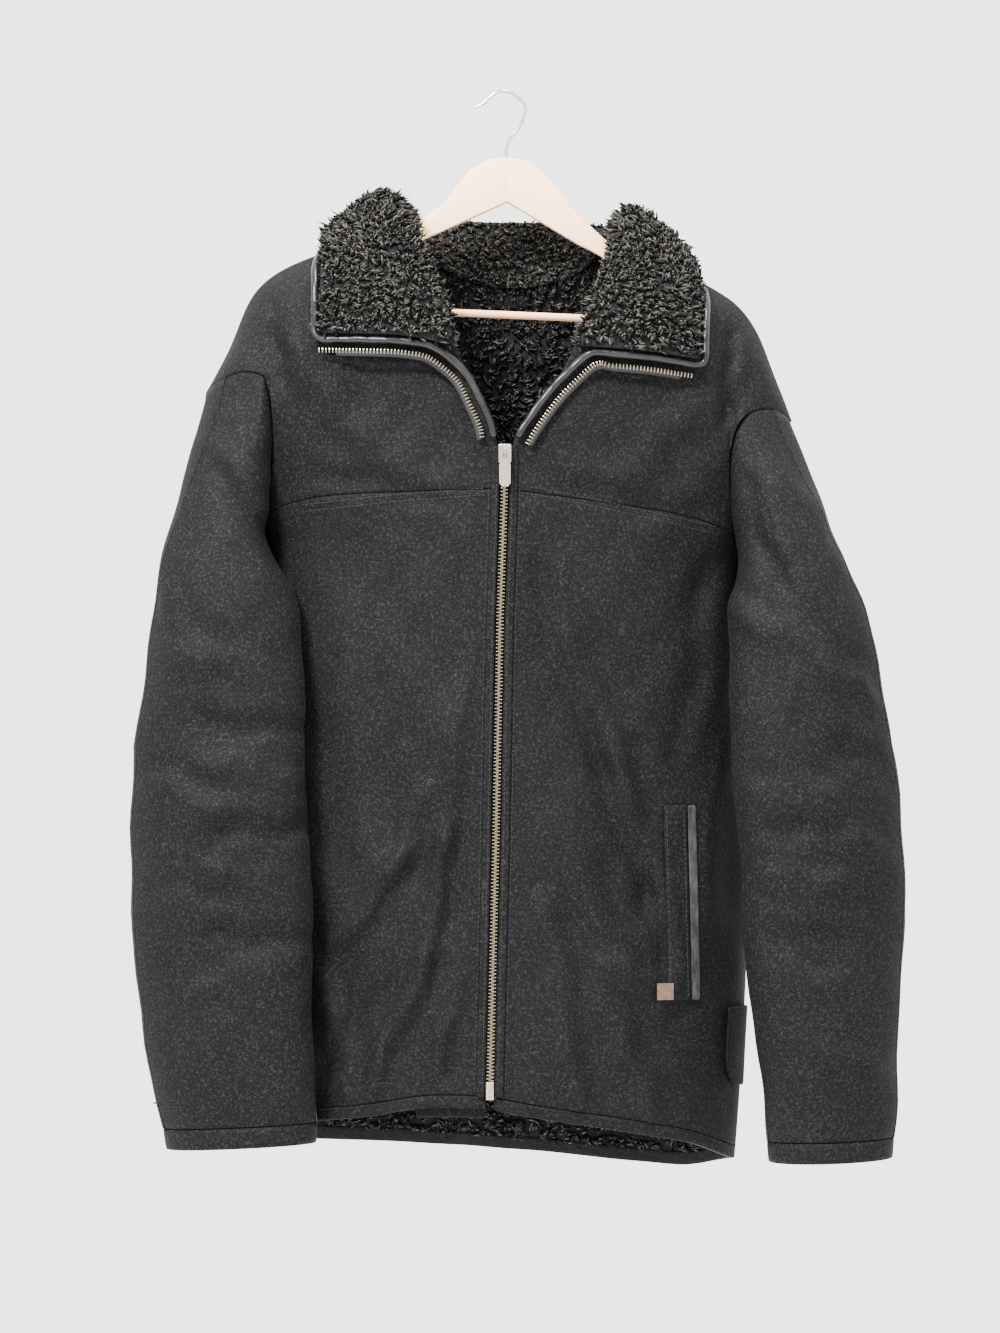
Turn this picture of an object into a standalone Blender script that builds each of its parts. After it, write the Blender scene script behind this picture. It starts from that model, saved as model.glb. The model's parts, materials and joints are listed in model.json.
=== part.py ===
"""Shearling-lined jacket hanging on a wooden hanger: every cut piece is one closed solid.

Sizes below are in millimetres and are turned into metres when a mesh is made.
Origin at the crown of the hanger's hook, +Z up, the jacket's front faces -Y.
"""

import math

import bpy
import bmesh
import numpy as np
from mathutils import Vector
from mathutils.bvhtree import BVHTree

MM = 0.001

# Walls and seams
WALL = 6.0
COLLAR_WALL = 10.0
COLLAR_LIFT = 1.6
HEM_WALL = 7.5
HEM_HEIGHT = 11.0
CUFF_WALL = 8.0
SEAM_GAP = 0.36
SEAT_GAP = 0.35

# Both pieces at a seam split its faces the same way: from the outer corner that is first this way
SEAM_ORDER = np.array([0.31, 0.22, 1.0])

# Grid sizes
LOOP_STEPS = 12
FRONT_COLUMNS = 10
NECK_COLUMNS = 8
BODY_ROWS = 9
SLEEVE_BLEND_ROWS = 6
SLEEVE_ROWS = 8
YOKE_ROW = 10
SLEEVE_SEAM_COLUMN = 2
LAPEL_COLUMNS = 8
LAPEL_ROWS = 8

# Zip
ZIP_HALF_GAP = 3.7
ZIP_CHAIN_WIDTH = 6.2
ZIP_CHAIN_DEPTH = 3.2
ZIP_TOP = -322.0
ZIP_BOTTOM = -842.0

# Front zip line: height, x
ZIP_LINE = [(-290.0, 2.0), (-351.0, 1.0), (-453.0, -2.5), (-640.0, -6.0), (-870.0, -11.5)]

# Body sections: height, left side x, right side x, front depth, back depth
BODY = [
    (-390.0, -206.0, 205.0, 90.0, 54.0),
    (-470.0, -210.0, 208.0, 93.0, 56.0),
    (-560.0, -213.0, 210.0, 95.0, 58.0),
    (-660.0, -214.0, 211.0, 96.0, 60.0),
    (-760.0, -213.0, 209.0, 97.0, 62.0),
    (-850.0, -211.0, 204.0, 96.0, 64.0),
    (-940.0, -208.0, 197.0, 94.0, 66.0),
]
SIDE_ROUNDING = 1.25

# How late and how roundly the front and the back turn over the shoulder
FRONT_TURN = (2.6, 0.70)
BACK_TURN = (2.6, 0.62)

# Hem heights across the body: x, front hem, back hem
HEM = [
    (-215.0, -886.0, -897.0),
    (-160.0, -879.0, -902.0),
    (-92.0, -872.0, -906.0),
    (-78.0, -866.0, -907.0),
    (-20.0, -864.0, -910.0),
    (0.0, -866.0, -912.0),
    (38.0, -874.0, -914.0),
    (113.0, -886.0, -922.0),
    (170.0, -898.0, -925.0),
    (205.0, -914.0, -916.0),
]

# Shoulder seams from the neck out to the sleeve: x, z
SHOULDER_LEFT = [
    (-88.0, -111.0), (-125.0, -126.0), (-161.5, -140.3), (-190.4, -151.3), (-208.3, -165.8),
    (-219.3, -178.5), (-228.7, -206.6), (-238.9, -228.7), (-255.0, -257.6),
]
SHOULDER_RIGHT = [
    (100.0, -123.0), (138.0, -144.0), (176.0, -165.8), (195.5, -176.0), (210.0, -191.3),
    (221.0, -209.1), (229.5, -234.6), (238.9, -256.7), (248.2, -282.2),
]

# Armhole seams from the shoulder point under the arm: x, y, z
ARMHOLE_LEFT_FRONT = [
    (-255.0, 0.0, -257.6), (-247.4, -20.0, -250.0), (-234.6, -36.0, -245.0),
    (-216.8, -47.0, -238.9), (-201.5, -50.0, -247.5), (-196.0, -50.0, -285.0),
    (-197.0, -46.0, -330.0), (-203.0, -30.0, -370.0), (-207.0, -6.0, -392.0),
]
ARMHOLE_LEFT_BACK = [
    (-255.0, 0.0, -257.6), (-244.0, 26.0, -254.0), (-228.0, 42.0, -256.0),
    (-215.0, 48.0, -285.0), (-210.0, 44.0, -330.0), (-208.0, 24.0, -374.0),
    (-207.0, -6.0, -392.0),
]
ARMHOLE_RIGHT_FRONT = [
    (248.2, 0.0, -282.2), (240.0, -20.0, -276.0), (225.0, -36.0, -272.0),
    (210.0, -46.0, -276.0), (198.0, -50.0, -287.0), (193.0, -50.0, -315.0),
    (194.0, -46.0, -350.0), (200.0, -30.0, -388.0), (206.0, -6.0, -408.0),
]
ARMHOLE_RIGHT_BACK = [
    (248.2, 0.0, -282.2), (238.0, 26.0, -280.0), (222.0, 42.0, -284.0),
    (211.0, 48.0, -312.0), (207.0, 44.0, -350.0), (206.0, 24.0, -390.0),
    (206.0, -6.0, -408.0),
]

# Front edges from the neck down to the underarm's height: x, y, z
NECK_LEFT = [
    (-88.0, -2.0, -111.0), (-74.0, -36.0, -134.0), (-58.0, -58.0, -165.0),
    (-46.0, -72.0, -200.0), (-36.0, -80.0, -232.0), (-24.0, -84.0, -256.0),
    (-4.0, -87.0, -300.0), (-3.2, -90.0, -351.0), (-5.0, -91.0, -398.0),
]
NECK_RIGHT = [
    (100.0, -2.0, -123.0), (89.0, -34.0, -145.0), (76.0, -58.0, -176.0),
    (65.0, -72.0, -208.0), (53.0, -80.0, -240.0), (30.0, -84.0, -270.0),
    (7.0, -87.0, -300.0), (5.2, -90.0, -351.0), (3.6, -91.0, -398.0),
]

# Back neck seam: x, y, z
NECK_BACK = [
    (-88.0, -2.0, -111.0), (-76.0, 24.0, -132.0), (-48.0, 42.0, -154.0), (0.0, 50.0, -166.0),
    (54.0, 42.0, -160.0), (86.0, 24.0, -142.0), (100.0, -2.0, -123.0),
]

# Sleeves: height, outer x, inner x, depth of the centre line, half depth, turn in degrees
SLEEVE_LEFT = [
    (-257.6, -255.0, -193.0, -2.0, 44.0, 0.0),
    (-315.0, -271.2, -180.0, -24.0, 50.0, 6.0),
    (-350.0, -279.7, -175.0, -36.0, 51.0, 10.0),
    (-388.0, -288.2, -171.0, -46.0, 51.0, 13.0),
    (-436.0, -298.4, -168.0, -54.0, 50.0, 16.0),
    (-513.0, -308.6, -166.0, -60.0, 49.0, 18.0),
    (-572.0, -313.5, -164.5, -62.0, 49.0, 18.0),
    (-649.0, -320.5, -162.0, -63.0, 49.0, 18.0),
    (-691.0, -318.8, -161.0, -64.0, 49.0, 18.0),
    (-759.0, -312.8, -159.5, -65.0, 48.0, 18.0),
    (-819.0, -304.3, -158.0, -66.0, 47.0, 18.0),
    (-905.0, -286.0, -157.0, -67.0, 45.0, 18.0),
]
SLEEVE_RIGHT = [
    (-282.2, 248.2, 195.0, -2.0, 42.0, 0.0),
    (-330.0, 266.9, 187.0, -24.0, 49.0, 6.0),
    (-360.0, 278.0, 185.0, -36.0, 51.0, 10.0),
    (-400.0, 290.7, 184.5, -46.0, 51.0, 13.0),
    (-447.0, 310.0, 184.5, -54.0, 50.0, 16.0),
    (-498.0, 322.2, 187.0, -58.0, 50.0, 17.0),
    (-564.0, 334.9, 192.5, -61.0, 49.0, 18.0),
    (-616.0, 340.0, 195.5, -62.0, 49.0, 18.0),
    (-668.0, 342.6, 198.0, -63.0, 49.0, 18.0),
    (-720.0, 341.7, 202.0, -64.0, 48.0, 18.0),
    (-779.0, 338.3, 210.0, -65.0, 47.0, 18.0),
    (-848.0, 335.5, 218.0, -66.0, 46.0, 18.0),
    (-912.0, 331.0, 224.0, -67.0, 44.0, 18.0),
]
SLEEVE_FREE_LEFT = -432.0
SLEEVE_FREE_RIGHT = -448.0
SLEEVE_CLEARANCE = 5.0
SIDE_CORE = 0.8
UNDERARM_EASE = 1.4
LOOP_BLEND = [0.8, 0.6, 0.3]
UNDERARM_SEAM_EASE = 4.6
SLEEVE_SMOOTHING = 3
CUFF_HEIGHT = 18.0

# Cuff edges: lowest height at the outer side, at the inner side
CUFF_LEFT = (-903.0, -895.0)
CUFF_RIGHT = (-909.0, -912.0)

# Largest folds, pressed into or raised from the cloth: x0, z0, x1, z1, half width, height
FRONT_FOLDS = [
    (-88.0, -655.0, -137.0, -725.0, 13.0, 5.0),
    (-27.0, -485.0, -66.0, -739.0, 16.0, 4.5),
    (-66.0, -739.0, -116.0, -850.0, 15.0, 5.0),
    (-35.0, -757.0, -56.0, -828.0, 12.0, 4.0),
    (20.0, -410.0, 119.0, -683.0, 22.0, -6.0),
    (119.0, -683.0, 138.0, -745.0, 16.0, -5.0),
    (-204.0, -183.0, -199.0, -240.0, 12.0, -9.0),
    (201.0, -211.0, 197.0, -280.0, 12.0, -9.0),
]
BACK_FOLDS = [
    (-120.0, -330.0, -60.0, -620.0, 24.0, -6.0),
    (105.0, -345.0, 70.0, -590.0, 22.0, -6.0),
    (-30.0, -690.0, -95.0, -860.0, 18.0, 5.0),
    (60.0, -640.0, 110.0, -850.0, 18.0, 5.0),
    (-204.0, -190.0, -206.0, -250.0, 13.0, -7.0),
    (201.0, -215.0, 204.0, -285.0, 13.0, -7.0),
]
SLEEVE_FOLDS = [
    (-242.0, -541.0, -170.0, -546.0, 16.0, -6.0),
    (-236.0, -632.0, -162.0, -628.0, 16.0, -6.0),
    (-240.0, -717.0, -165.0, -722.0, 15.0, -6.0),
    (-300.0, -590.0, -245.0, -610.0, 16.0, 4.0),
    (226.0, -629.0, 270.0, -627.0, 15.0, -6.0),
    (233.0, -717.0, 274.0, -719.0, 15.0, -6.0),
    (290.0, -560.0, 334.0, -585.0, 16.0, -4.0),
    (270.0, -490.0, 316.0, -520.0, 16.0, 4.0),
]

# Lapel wings, pile side forward. Roll edge, crest edge, outer edge and lower edge: x, y, z
LAPEL_LEFT = {
    "roll": [
        (-44.0, -94.0, -222.0), (-41.0, -88.0, -203.0), (-49.0, -78.0, -176.0),
        (-58.0, -58.0, -156.0), (-68.0, -40.0, -136.0), (-74.0, -24.0, -120.0),
        (-77.0, -5.0, -107.0),
    ],
    "crest": [
        (-77.0, -5.0, -107.0), (-82.0, -6.0, -95.0), (-90.0, -6.0, -87.0), (-101.0, -5.0, -82.0),
        (-112.0, -6.0, -85.0), (-126.7, -8.0, -93.5), (-138.6, -11.0, -104.6),
        (-149.6, -13.0, -115.0), (-153.0, -18.0, -127.5),
    ],
    "outer": [
        (-153.0, -18.0, -127.5), (-154.5, -52.0, -146.0), (-155.0, -72.0, -172.0),
        (-154.5, -80.0, -211.0),
    ],
    "lower": [
        (-44.0, -94.0, -222.0), (-80.0, -96.0, -214.0), (-120.0, -90.0, -212.0),
        (-154.5, -80.0, -211.0),
    ],
}
LAPEL_RIGHT = {
    "roll": [
        (62.0, -94.0, -222.0), (68.0, -88.0, -203.0), (76.0, -78.0, -178.0),
        (83.0, -58.0, -158.0), (89.0, -38.0, -140.0), (91.0, -22.0, -130.0),
        (91.0, -5.0, -118.5),
    ],
    "crest": [
        (91.0, -5.0, -118.5), (96.5, -6.0, -104.5), (103.0, -6.0, -97.0), (113.0, -5.0, -95.0),
        (130.0, -8.0, -107.0), (146.0, -12.0, -120.7), (157.0, -16.0, -134.0),
        (165.0, -15.0, -146.0), (168.0, -20.0, -157.0),
    ],
    "outer": [
        (168.0, -20.0, -157.0), (169.0, -52.0, -178.0), (168.0, -70.0, -205.0),
        (166.0, -78.0, -233.0),
    ],
    "lower": [
        (62.0, -94.0, -222.0), (88.0, -94.0, -224.0), (125.0, -89.0, -227.0),
        (166.0, -78.0, -233.0),
    ],
}
COLLAR_TOP_EDGE = [
    (-153.0, -18.0, -127.5), (-146.0, 18.0, -120.0), (-112.0, 48.0, -108.0), (-52.0, 61.0, -105.0),
    (5.0, 63.0, -107.0), (62.0, 60.0, -107.0), (124.0, 48.0, -118.0), (160.0, 16.0, -142.0),
    (168.0, -20.0, -157.0),
]
COLLAR_COLUMNS = 16
LAPEL_LIFT = 1.4
CREST_ROWS = 1

# Extra room between a lapel and its binding, from the crest down
CREST_EASE = [2.9, 3.1, 2.4, 1.2]
LOW_EASE = 0.2
ROW_EASE = {"left": 0.6, "right": 1.1}

# The rolled front edges below the lapels, from the roll down to the slider: x, z
ROLLED_EDGE_LEFT = [(-33.0, -243.0), (-20.0, -266.0), (-10.0, -288.0), (-8.0, -300.0)]
ROLLED_EDGE_RIGHT = [(50.0, -249.0), (34.0, -267.0), (19.0, -288.0), (12.0, -300.0)]
BINDING_WIDTH = 8.0
BINDING_DEPTH = 9.0
TEETH_WIDTH = 4.0
TEETH_DEPTH = 3.2
TAPE_WIDTH = 5.0
TAPE_DEPTH = 1.6

# Slider and pull tab
SLIDER_WIDTH = 11.0
SLIDER_HEIGHT = 16.0
PULL_WIDTH = 9.5
PULL_LENGTH = 29.0
PULL_THICKNESS = 1.8
PIVOT_HEIGHT = -312.0
PIVOT_STANDOFF = 2.6
ARCH_REACH = 3.0
SLIDER_DEPTH = 5.0
STRIP_LIFT = 0.8
STRIP_WIDTH = 7.0
STRIP_THICKNESS = 1.6
WELT_THICKNESS = 2.6

# The wind flap behind the left front edge: its width in columns and its reach below the hem
FLAP_COLUMNS = 3
FLAP_DROP = 9.0
FLAP_THICKNESS = 3.0

# The loop inside the back neck: ends (x, z)
HANG_LOOP = [(-10.0, -177.5), (23.0, -177.5)]
HANG_LOOP_HEIGHT = 11.0
HANG_LOOP_THICKNESS = 1.8

# The strap round each side near the hem: height, depth at its front, depth at its back
SIDE_STRAP = [
    (-783.0, -30.0, 10.0),
    (-806.0, -30.0, 10.0),
    (-828.0, -30.0, 10.0),
    (-843.0, -27.0, 7.0),
    (-851.0, -19.0, -1.0),
]
STRAP_THICKNESS = 2.4
STRAP_EASE = 0.85

# Pockets: welt rows of x at the top, x at the foot
POCKET_TOP = -610.0
POCKET_FOOT = -776.0
WELT_WIDTH = 20.0
FACING_WIDTH = 7.5
POCKET_RIGHT_X = 146.0
POCKET_LEFT_X = -176.0
PLATE_SIZE = 14.5
PLATE_THICKNESS = 1.0

# Hanger: x, z
HANGER_TOP = [
    (-205.0, -174.0), (-125.0, -133.5), (-90.0, -122.5), (-82.0, -119.0), (-74.0, -114.0),
    (-61.0, -102.0), (-54.5, -98.0),
    (-45.0, -88.4), (-35.7, -74.8), (-27.2, -65.9), (-13.0, -57.8), (3.0, -55.5),
    (23.0, -58.6), (36.5, -70.5), (48.5, -84.2), (57.5, -97.8), (68.9, -108.8),
    (86.0, -124.8), (96.0, -131.8), (104.0, -136.0),
    (134.0, -152.0), (204.0, -200.0),
]
HANGER_LOW = [
    (-205.0, -196.0), (-190.0, -192.0), (-163.0, -179.8), (-125.0, -156.0), (-72.0, -129.0),
    (-50.0, -116.0), (-25.0, -101.0), (-10.0, -95.5), (3.5, -94.3), (15.0, -96.0),
    (35.0, -107.0), (60.0, -124.0), (86.0, -142.0), (134.0, -171.0), (166.0, -193.8),
    (190.0, -206.0), (204.0, -214.0),
]
HANGER_STATIONS = [
    -200.0, -190.0, -176.0, -163.0, -144.0, -125.0, -101.0, -90.0, -82.0, -74.0, -61.0, -54.5,
    -45.0, -35.7, -27.2, -13.0, 3.0, 23.0, 36.5, 48.5, 57.5, 68.9, 86.0, 96.0, 104.0, 118.0,
    134.0, 150.0, 166.0, 180.0, 192.0, 202.0,
]
HANGER_HIDDEN_FROM = 100.0
HANGER_SEAT = 2.8
HANGER_DEPTH = 12.0
HANGER_ARM_DEPTH = 9.0
HOOK_WIRE = 3.2
HOOK = [
    (-23.8, -12.8), (-17.0, -9.4), (-11.0, -3.4), (-5.5, 0.4), (0.0, 1.7), (5.5, 0.9),
    (10.5, -2.0), (16.5, -7.5), (19.6, -12.5), (18.7, -18.9), (15.0, -28.2), (6.4, -39.1),
    (3.2, -47.5), (3.0, -55.0),
]
BAR_DIAMETER = 7.0
BAR_ENDS = [(-164.0, -183.6), (167.0, -198.0)]


def clear_scene():
    for obj in list(bpy.data.objects):
        bpy.data.objects.remove(obj, do_unlink=True)


def material(name, color, roughness, metallic=0.0):
    made = bpy.data.materials.new(name)
    made.use_nodes = True
    shader = made.node_tree.nodes["Principled BSDF"]
    shader.inputs["Base Color"].default_value = (*color, 1.0)
    shader.inputs["Roughness"].default_value = roughness
    shader.inputs["Metallic"].default_value = metallic
    made.diffuse_color = (*color, 1.0)
    return made


def column(table, key, value):
    """The value in one column of a table at a place in its first column."""
    rows = sorted(table)
    return float(np.interp(value, [row[0] for row in rows], [row[key] for row in rows]))


def curve(points, count):
    """Evenly spaced points on the smooth curve through the given ones."""
    rows = np.array(points, float)
    padded = np.vstack([2 * rows[0] - rows[1], rows, 2 * rows[-1] - rows[-2]])
    dense = []
    for i in range(len(rows) - 1):
        a, b, c, d = padded[i : i + 4]
        for t in np.linspace(0, 1, 24, endpoint=False):
            dense.append(
                0.5 * (2 * b + (c - a) * t + (2 * a - 5 * b + 4 * c - d) * t**2
                       + (3 * b - 3 * c + d - a) * t**3)
            )
    dense = np.array(dense + [rows[-1]])
    length = np.concatenate([[0], np.cumsum(np.linalg.norm(np.diff(dense, axis=0), axis=1))])
    places = np.linspace(0, length[-1], count)
    return np.stack([np.interp(places, length, dense[:, k]) for k in range(rows.shape[1])], axis=1)


def unit(vectors):
    size = np.linalg.norm(vectors, axis=-1, keepdims=True)
    return vectors / np.maximum(size, 1e-9)


def grid_normals(grid, closed=False):
    """Unit normals of a grid of points, rows first, that may close on itself along its columns."""
    down = np.gradient(grid, axis=0)
    if closed:
        across = (np.roll(grid, -1, axis=1) - np.roll(grid, 1, axis=1)) / 2
    else:
        across = np.gradient(grid, axis=1)
    return unit(np.cross(across, down))


def fold_height(x, z, folds):
    """How far a table of folds raises the cloth at one place."""
    total = np.zeros(np.shape(x))
    for x0, z0, x1, z1, width, height in folds:
        run = np.array([x1 - x0, z1 - z0])
        along = ((x - x0) * run[0] + (z - z0) * run[1]) / (run @ run)
        near = np.clip(along, 0, 1)
        gap = np.hypot(x - x0 - near * run[0], z - z0 - near * run[1])
        total = total + height * np.exp(-((gap / width) ** 2))
    return total


def inset(outer, inner, closed):
    """Draws the borders of a wall back by half a seam gap, across the seam's own run."""
    half = SEAM_GAP / 2
    sides = [(0, 1, 0), (-1, -2, 0)]
    if not closed:
        sides += [(0, 1, 1), (-1, -2, 1)]
    shifts = []
    for edge, beside, axis in sides:
        border = outer[edge] if axis == 0 else outer[:, edge]
        nearby = outer[beside] if axis == 0 else outer[:, beside]
        run = unit(np.gradient(border, axis=0))
        way = nearby - border
        way = unit(way - (way * run).sum(axis=1, keepdims=True) * run)
        shifts.append((edge, axis, way * half))
    for edge, axis, shift in shifts:
        for layer in (outer, inner):
            if axis == 0:
                layer[edge] += shift
            else:
                layer[:, edge] += shift


def mesh_object(name, points, faces, finish):
    mesh = bpy.data.meshes.new(name)
    mesh.from_pydata([tuple(p) for p in np.asarray(points) * MM], [], faces)
    work = bmesh.new()
    work.from_mesh(mesh)
    bmesh.ops.recalc_face_normals(work, faces=work.faces)
    work.to_mesh(mesh)
    work.free()
    mesh.shade_smooth()
    mesh.set_sharp_from_angle(angle=math.radians(40))
    mesh.materials.append(finish)
    made = bpy.data.objects.new(name, mesh)
    bpy.context.scene.collection.objects.link(made)
    return made


def wall(name, outer, normals, thickness, finish, closed=False, rows=None, columns=None):
    """A closed solid between a grid of outer points and the same points moved in."""
    outer = np.array(outer, float)
    inner = outer - normals * thickness
    if rows:
        outer, inner = outer[rows[0] : rows[1] + 1], inner[rows[0] : rows[1] + 1]
    if columns:
        places = [c % (outer.shape[1]) for c in range(columns[0], columns[1] + 1)]
        outer, inner = outer[:, places], inner[:, places]
        closed = False
    outer, inner = outer.copy(), inner.copy()
    inset(outer, inner, closed)
    n_rows, n_columns = outer.shape[:2]
    count = n_rows * n_columns
    points = np.concatenate([outer.reshape(-1, 3), inner.reshape(-1, 3)])
    faces = []
    last = n_columns if closed else n_columns - 1

    def at(row, col):
        return row * n_columns + col % n_columns

    for r in range(n_rows - 1):
        for c in range(last):
            quad = [at(r, c), at(r, c + 1), at(r + 1, c + 1), at(r + 1, c)]
            for half in (quad[:3], [quad[0], quad[2], quad[3]]):
                faces.append(half)
                faces.append([count + i for i in reversed(half)])
    edges = [(at(r, c), at(r, c + 1)) for r in (0, n_rows - 1) for c in range(last)]
    if not closed:
        edges += [(at(r, c), at(r + 1, c)) for c in (0, n_columns - 1) for r in range(n_rows - 1)]
    for a, b in edges:
        if points[a] @ SEAM_ORDER < points[b] @ SEAM_ORDER:
            a, b = b, a
        faces.append([a, b, count + b])
        faces.append([a, count + b, count + a])
    return mesh_object(name, points, faces, finish)


def blended_patch(low, high, first, last, turn=(1.0, 1.0), side_weights=None):
    """A patch between four edge curves.

    Depth turns towards the high edge late, as a shoulder does, and the depth of the first and last
    edges dies away from them by their own weights, one for each column.
    """
    n_rows, n_columns = len(first), len(low)
    u = np.linspace(0, 1, n_columns)[None, :, None]
    v = np.linspace(0, 1, n_rows)[:, None, None]
    v = np.concatenate([v, 1 - (1 - v ** turn[0]) ** turn[1], v], axis=2)
    first_weight, last_weight = side_weights or (1 - u[0, :, 0], u[0, :, 0])
    near_first = np.concatenate([1 - u, first_weight[None, :, None], 1 - u], axis=2)
    near_last = np.concatenate([u, last_weight[None, :, None], u], axis=2)
    straight = (1 - v) * low[None] + v * high[None]
    return (
        straight
        + near_first * (first[:, None] - straight[:, :1])
        + near_last * (last[:, None] - straight[:, -1:])
    )


def body_point(x, z, facing):
    """Depth of the body's outer face at one place; facing is -1 for the front and 1 for the back."""
    side = column(BODY, 1 if x < 0 else 2, z)
    depth = column(BODY, 3 if facing < 0 else 4, z)
    reach = max(0.0, 1 - (x / side) ** 2)
    return facing * depth * reach ** (SIDE_ROUNDING / 2)


def front_grid(side):
    """Rows from the shoulder to the hem, columns from the zip to the side."""
    left = side < 0
    neck = curve(NECK_LEFT if left else NECK_RIGHT, LOOP_STEPS + 1)
    arm = curve(ARMHOLE_LEFT_FRONT if left else ARMHOLE_RIGHT_FRONT, LOOP_STEPS + 1)
    top = shoulder(side)
    across = np.sin(np.linspace(0, math.pi / 2, FRONT_COLUMNS + 1))
    level = neck[-1][None] * (1 - across[:, None]) + arm[-1][None] * across[:, None]
    blend = 1 - (1 - across**2) ** (SIDE_ROUNDING / 2)
    level[:, 1] = neck[-1][1] + (arm[-1][1] - neck[-1][1]) * blend
    upper = blended_patch(level, top, neck[::-1], arm[::-1], FRONT_TURN, (1 - blend, blend))[::-1]
    lower = []
    for j in range(1, BODY_ROWS + 1):
        share = j / BODY_ROWS
        row = []
        for c in range(FRONT_COLUMNS + 1):
            x, y, z = level[c]
            z = z + (column(HEM, 1, x) - z) * share
            x_edge = column(ZIP_LINE, 1, z) + side * ZIP_HALF_GAP
            x_side = column(BODY, 1 if left else 2, z)
            x = x_edge + (x_side - x_edge) * across[c]
            target = body_point(x, z, -1)
            y = target + (level[c][1] - body_point(level[c][0], level[c][2], -1)) * (1 - share) ** 2
            row.append((x, y, z))
        lower.append(row)
    grid = np.concatenate([upper, np.array(lower)])
    grid[:, :, 1] -= fold_height(grid[:, :, 0], grid[:, :, 2], FRONT_FOLDS) * edge_fade(grid)
    return grid


def edge_fade(grid):
    """1 inside a grid and 0 along its borders, so that folds leave the seams where they are."""
    fade = np.ones(grid.shape[:2])
    fade[:, 0] = 0
    fade[:, -1] = 0
    fade[0] = 0
    return fade


def shoulder(side):
    table = SHOULDER_LEFT if side < 0 else SHOULDER_RIGHT
    return curve([(x, -2.0 + 2.0 * i / (len(table) - 1), z) for i, (x, z) in enumerate(table)],
                 FRONT_COLUMNS + 1)


def back_grid():
    """Rows from the shoulders to the hem, columns from the left side to the right side."""
    left_arm = curve(ARMHOLE_LEFT_BACK, LOOP_STEPS + 1)
    right_arm = curve(ARMHOLE_RIGHT_BACK, LOOP_STEPS + 1)
    neck = curve(NECK_BACK, NECK_COLUMNS + 1)
    top = np.concatenate([shoulder(-1)[::-1], neck[1:-1], shoulder(1)])
    count = len(top)
    turn = np.linspace(-math.pi / 2, math.pi / 2, count)
    across = np.sin(turn) / 2 + 0.5
    level = left_arm[-1] * (1 - across[:, None]) + right_arm[-1] * across[:, None]
    depth = column(BODY, 4, level[0][2])
    shape = np.cos(turn) ** SIDE_ROUNDING
    level[:, 1] += (depth - level[:, 1]) * shape
    weights = ((1 - shape) * (turn < 0), (1 - shape) * (turn >= 0))
    upper = blended_patch(level, top, left_arm[::-1], right_arm[::-1], BACK_TURN, weights)[::-1]
    lower = []
    for j in range(1, BODY_ROWS + 1):
        share = j / BODY_ROWS
        row = []
        for c in range(count):
            x, y, z = level[c]
            z = z + (column(HEM, 2, x) - z) * share
            left_side, right_side = column(BODY, 1, z), column(BODY, 2, z)
            x = left_side + (right_side - left_side) * across[c]
            y = column(BODY, 4, z) * math.cos(turn[c]) ** SIDE_ROUNDING
            row.append((x, y, z))
        lower.append(row)
    grid = np.concatenate([upper, np.array(lower)])
    grid[:, :, 1] += fold_height(grid[:, :, 0], grid[:, :, 2], BACK_FOLDS) * edge_fade(grid)
    return grid


def match_sides(front_left, front_right, back):
    """The side seams run on one line: both pieces take the mean of their two edges."""
    for front, place in ((front_left, 0), (front_right, -1)):
        for row in range(LOOP_STEPS + 1, len(back)):
            middle = (front[row, -1] + back[row, place]) / 2
            front[row, -1] = middle
            back[row, place] = middle


def tube_point(side, table, z, turn):
    """A point on the sleeve's free form at one height and one place round it."""
    outer, inner = column(table, 1, z), column(table, 2, z)
    centre, half, lean = column(table, 3, z), column(table, 4, z), math.radians(column(table, 5, z))
    width = abs(outer - inner) / 2
    long_half = math.sqrt(max(width**2 - (half * math.sin(lean)) ** 2, 1.0)) / math.cos(lean)
    out = long_half * math.cos(turn)
    front = half * math.sin(turn)
    x = (outer + inner) / 2 + side * (out * math.cos(lean) + front * math.sin(lean))
    y = centre + out * math.sin(lean) - front * math.cos(lean)
    return np.array([x, y, z])


def smooth_step(t):
    return t * t * (3 - 2 * t)


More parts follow.
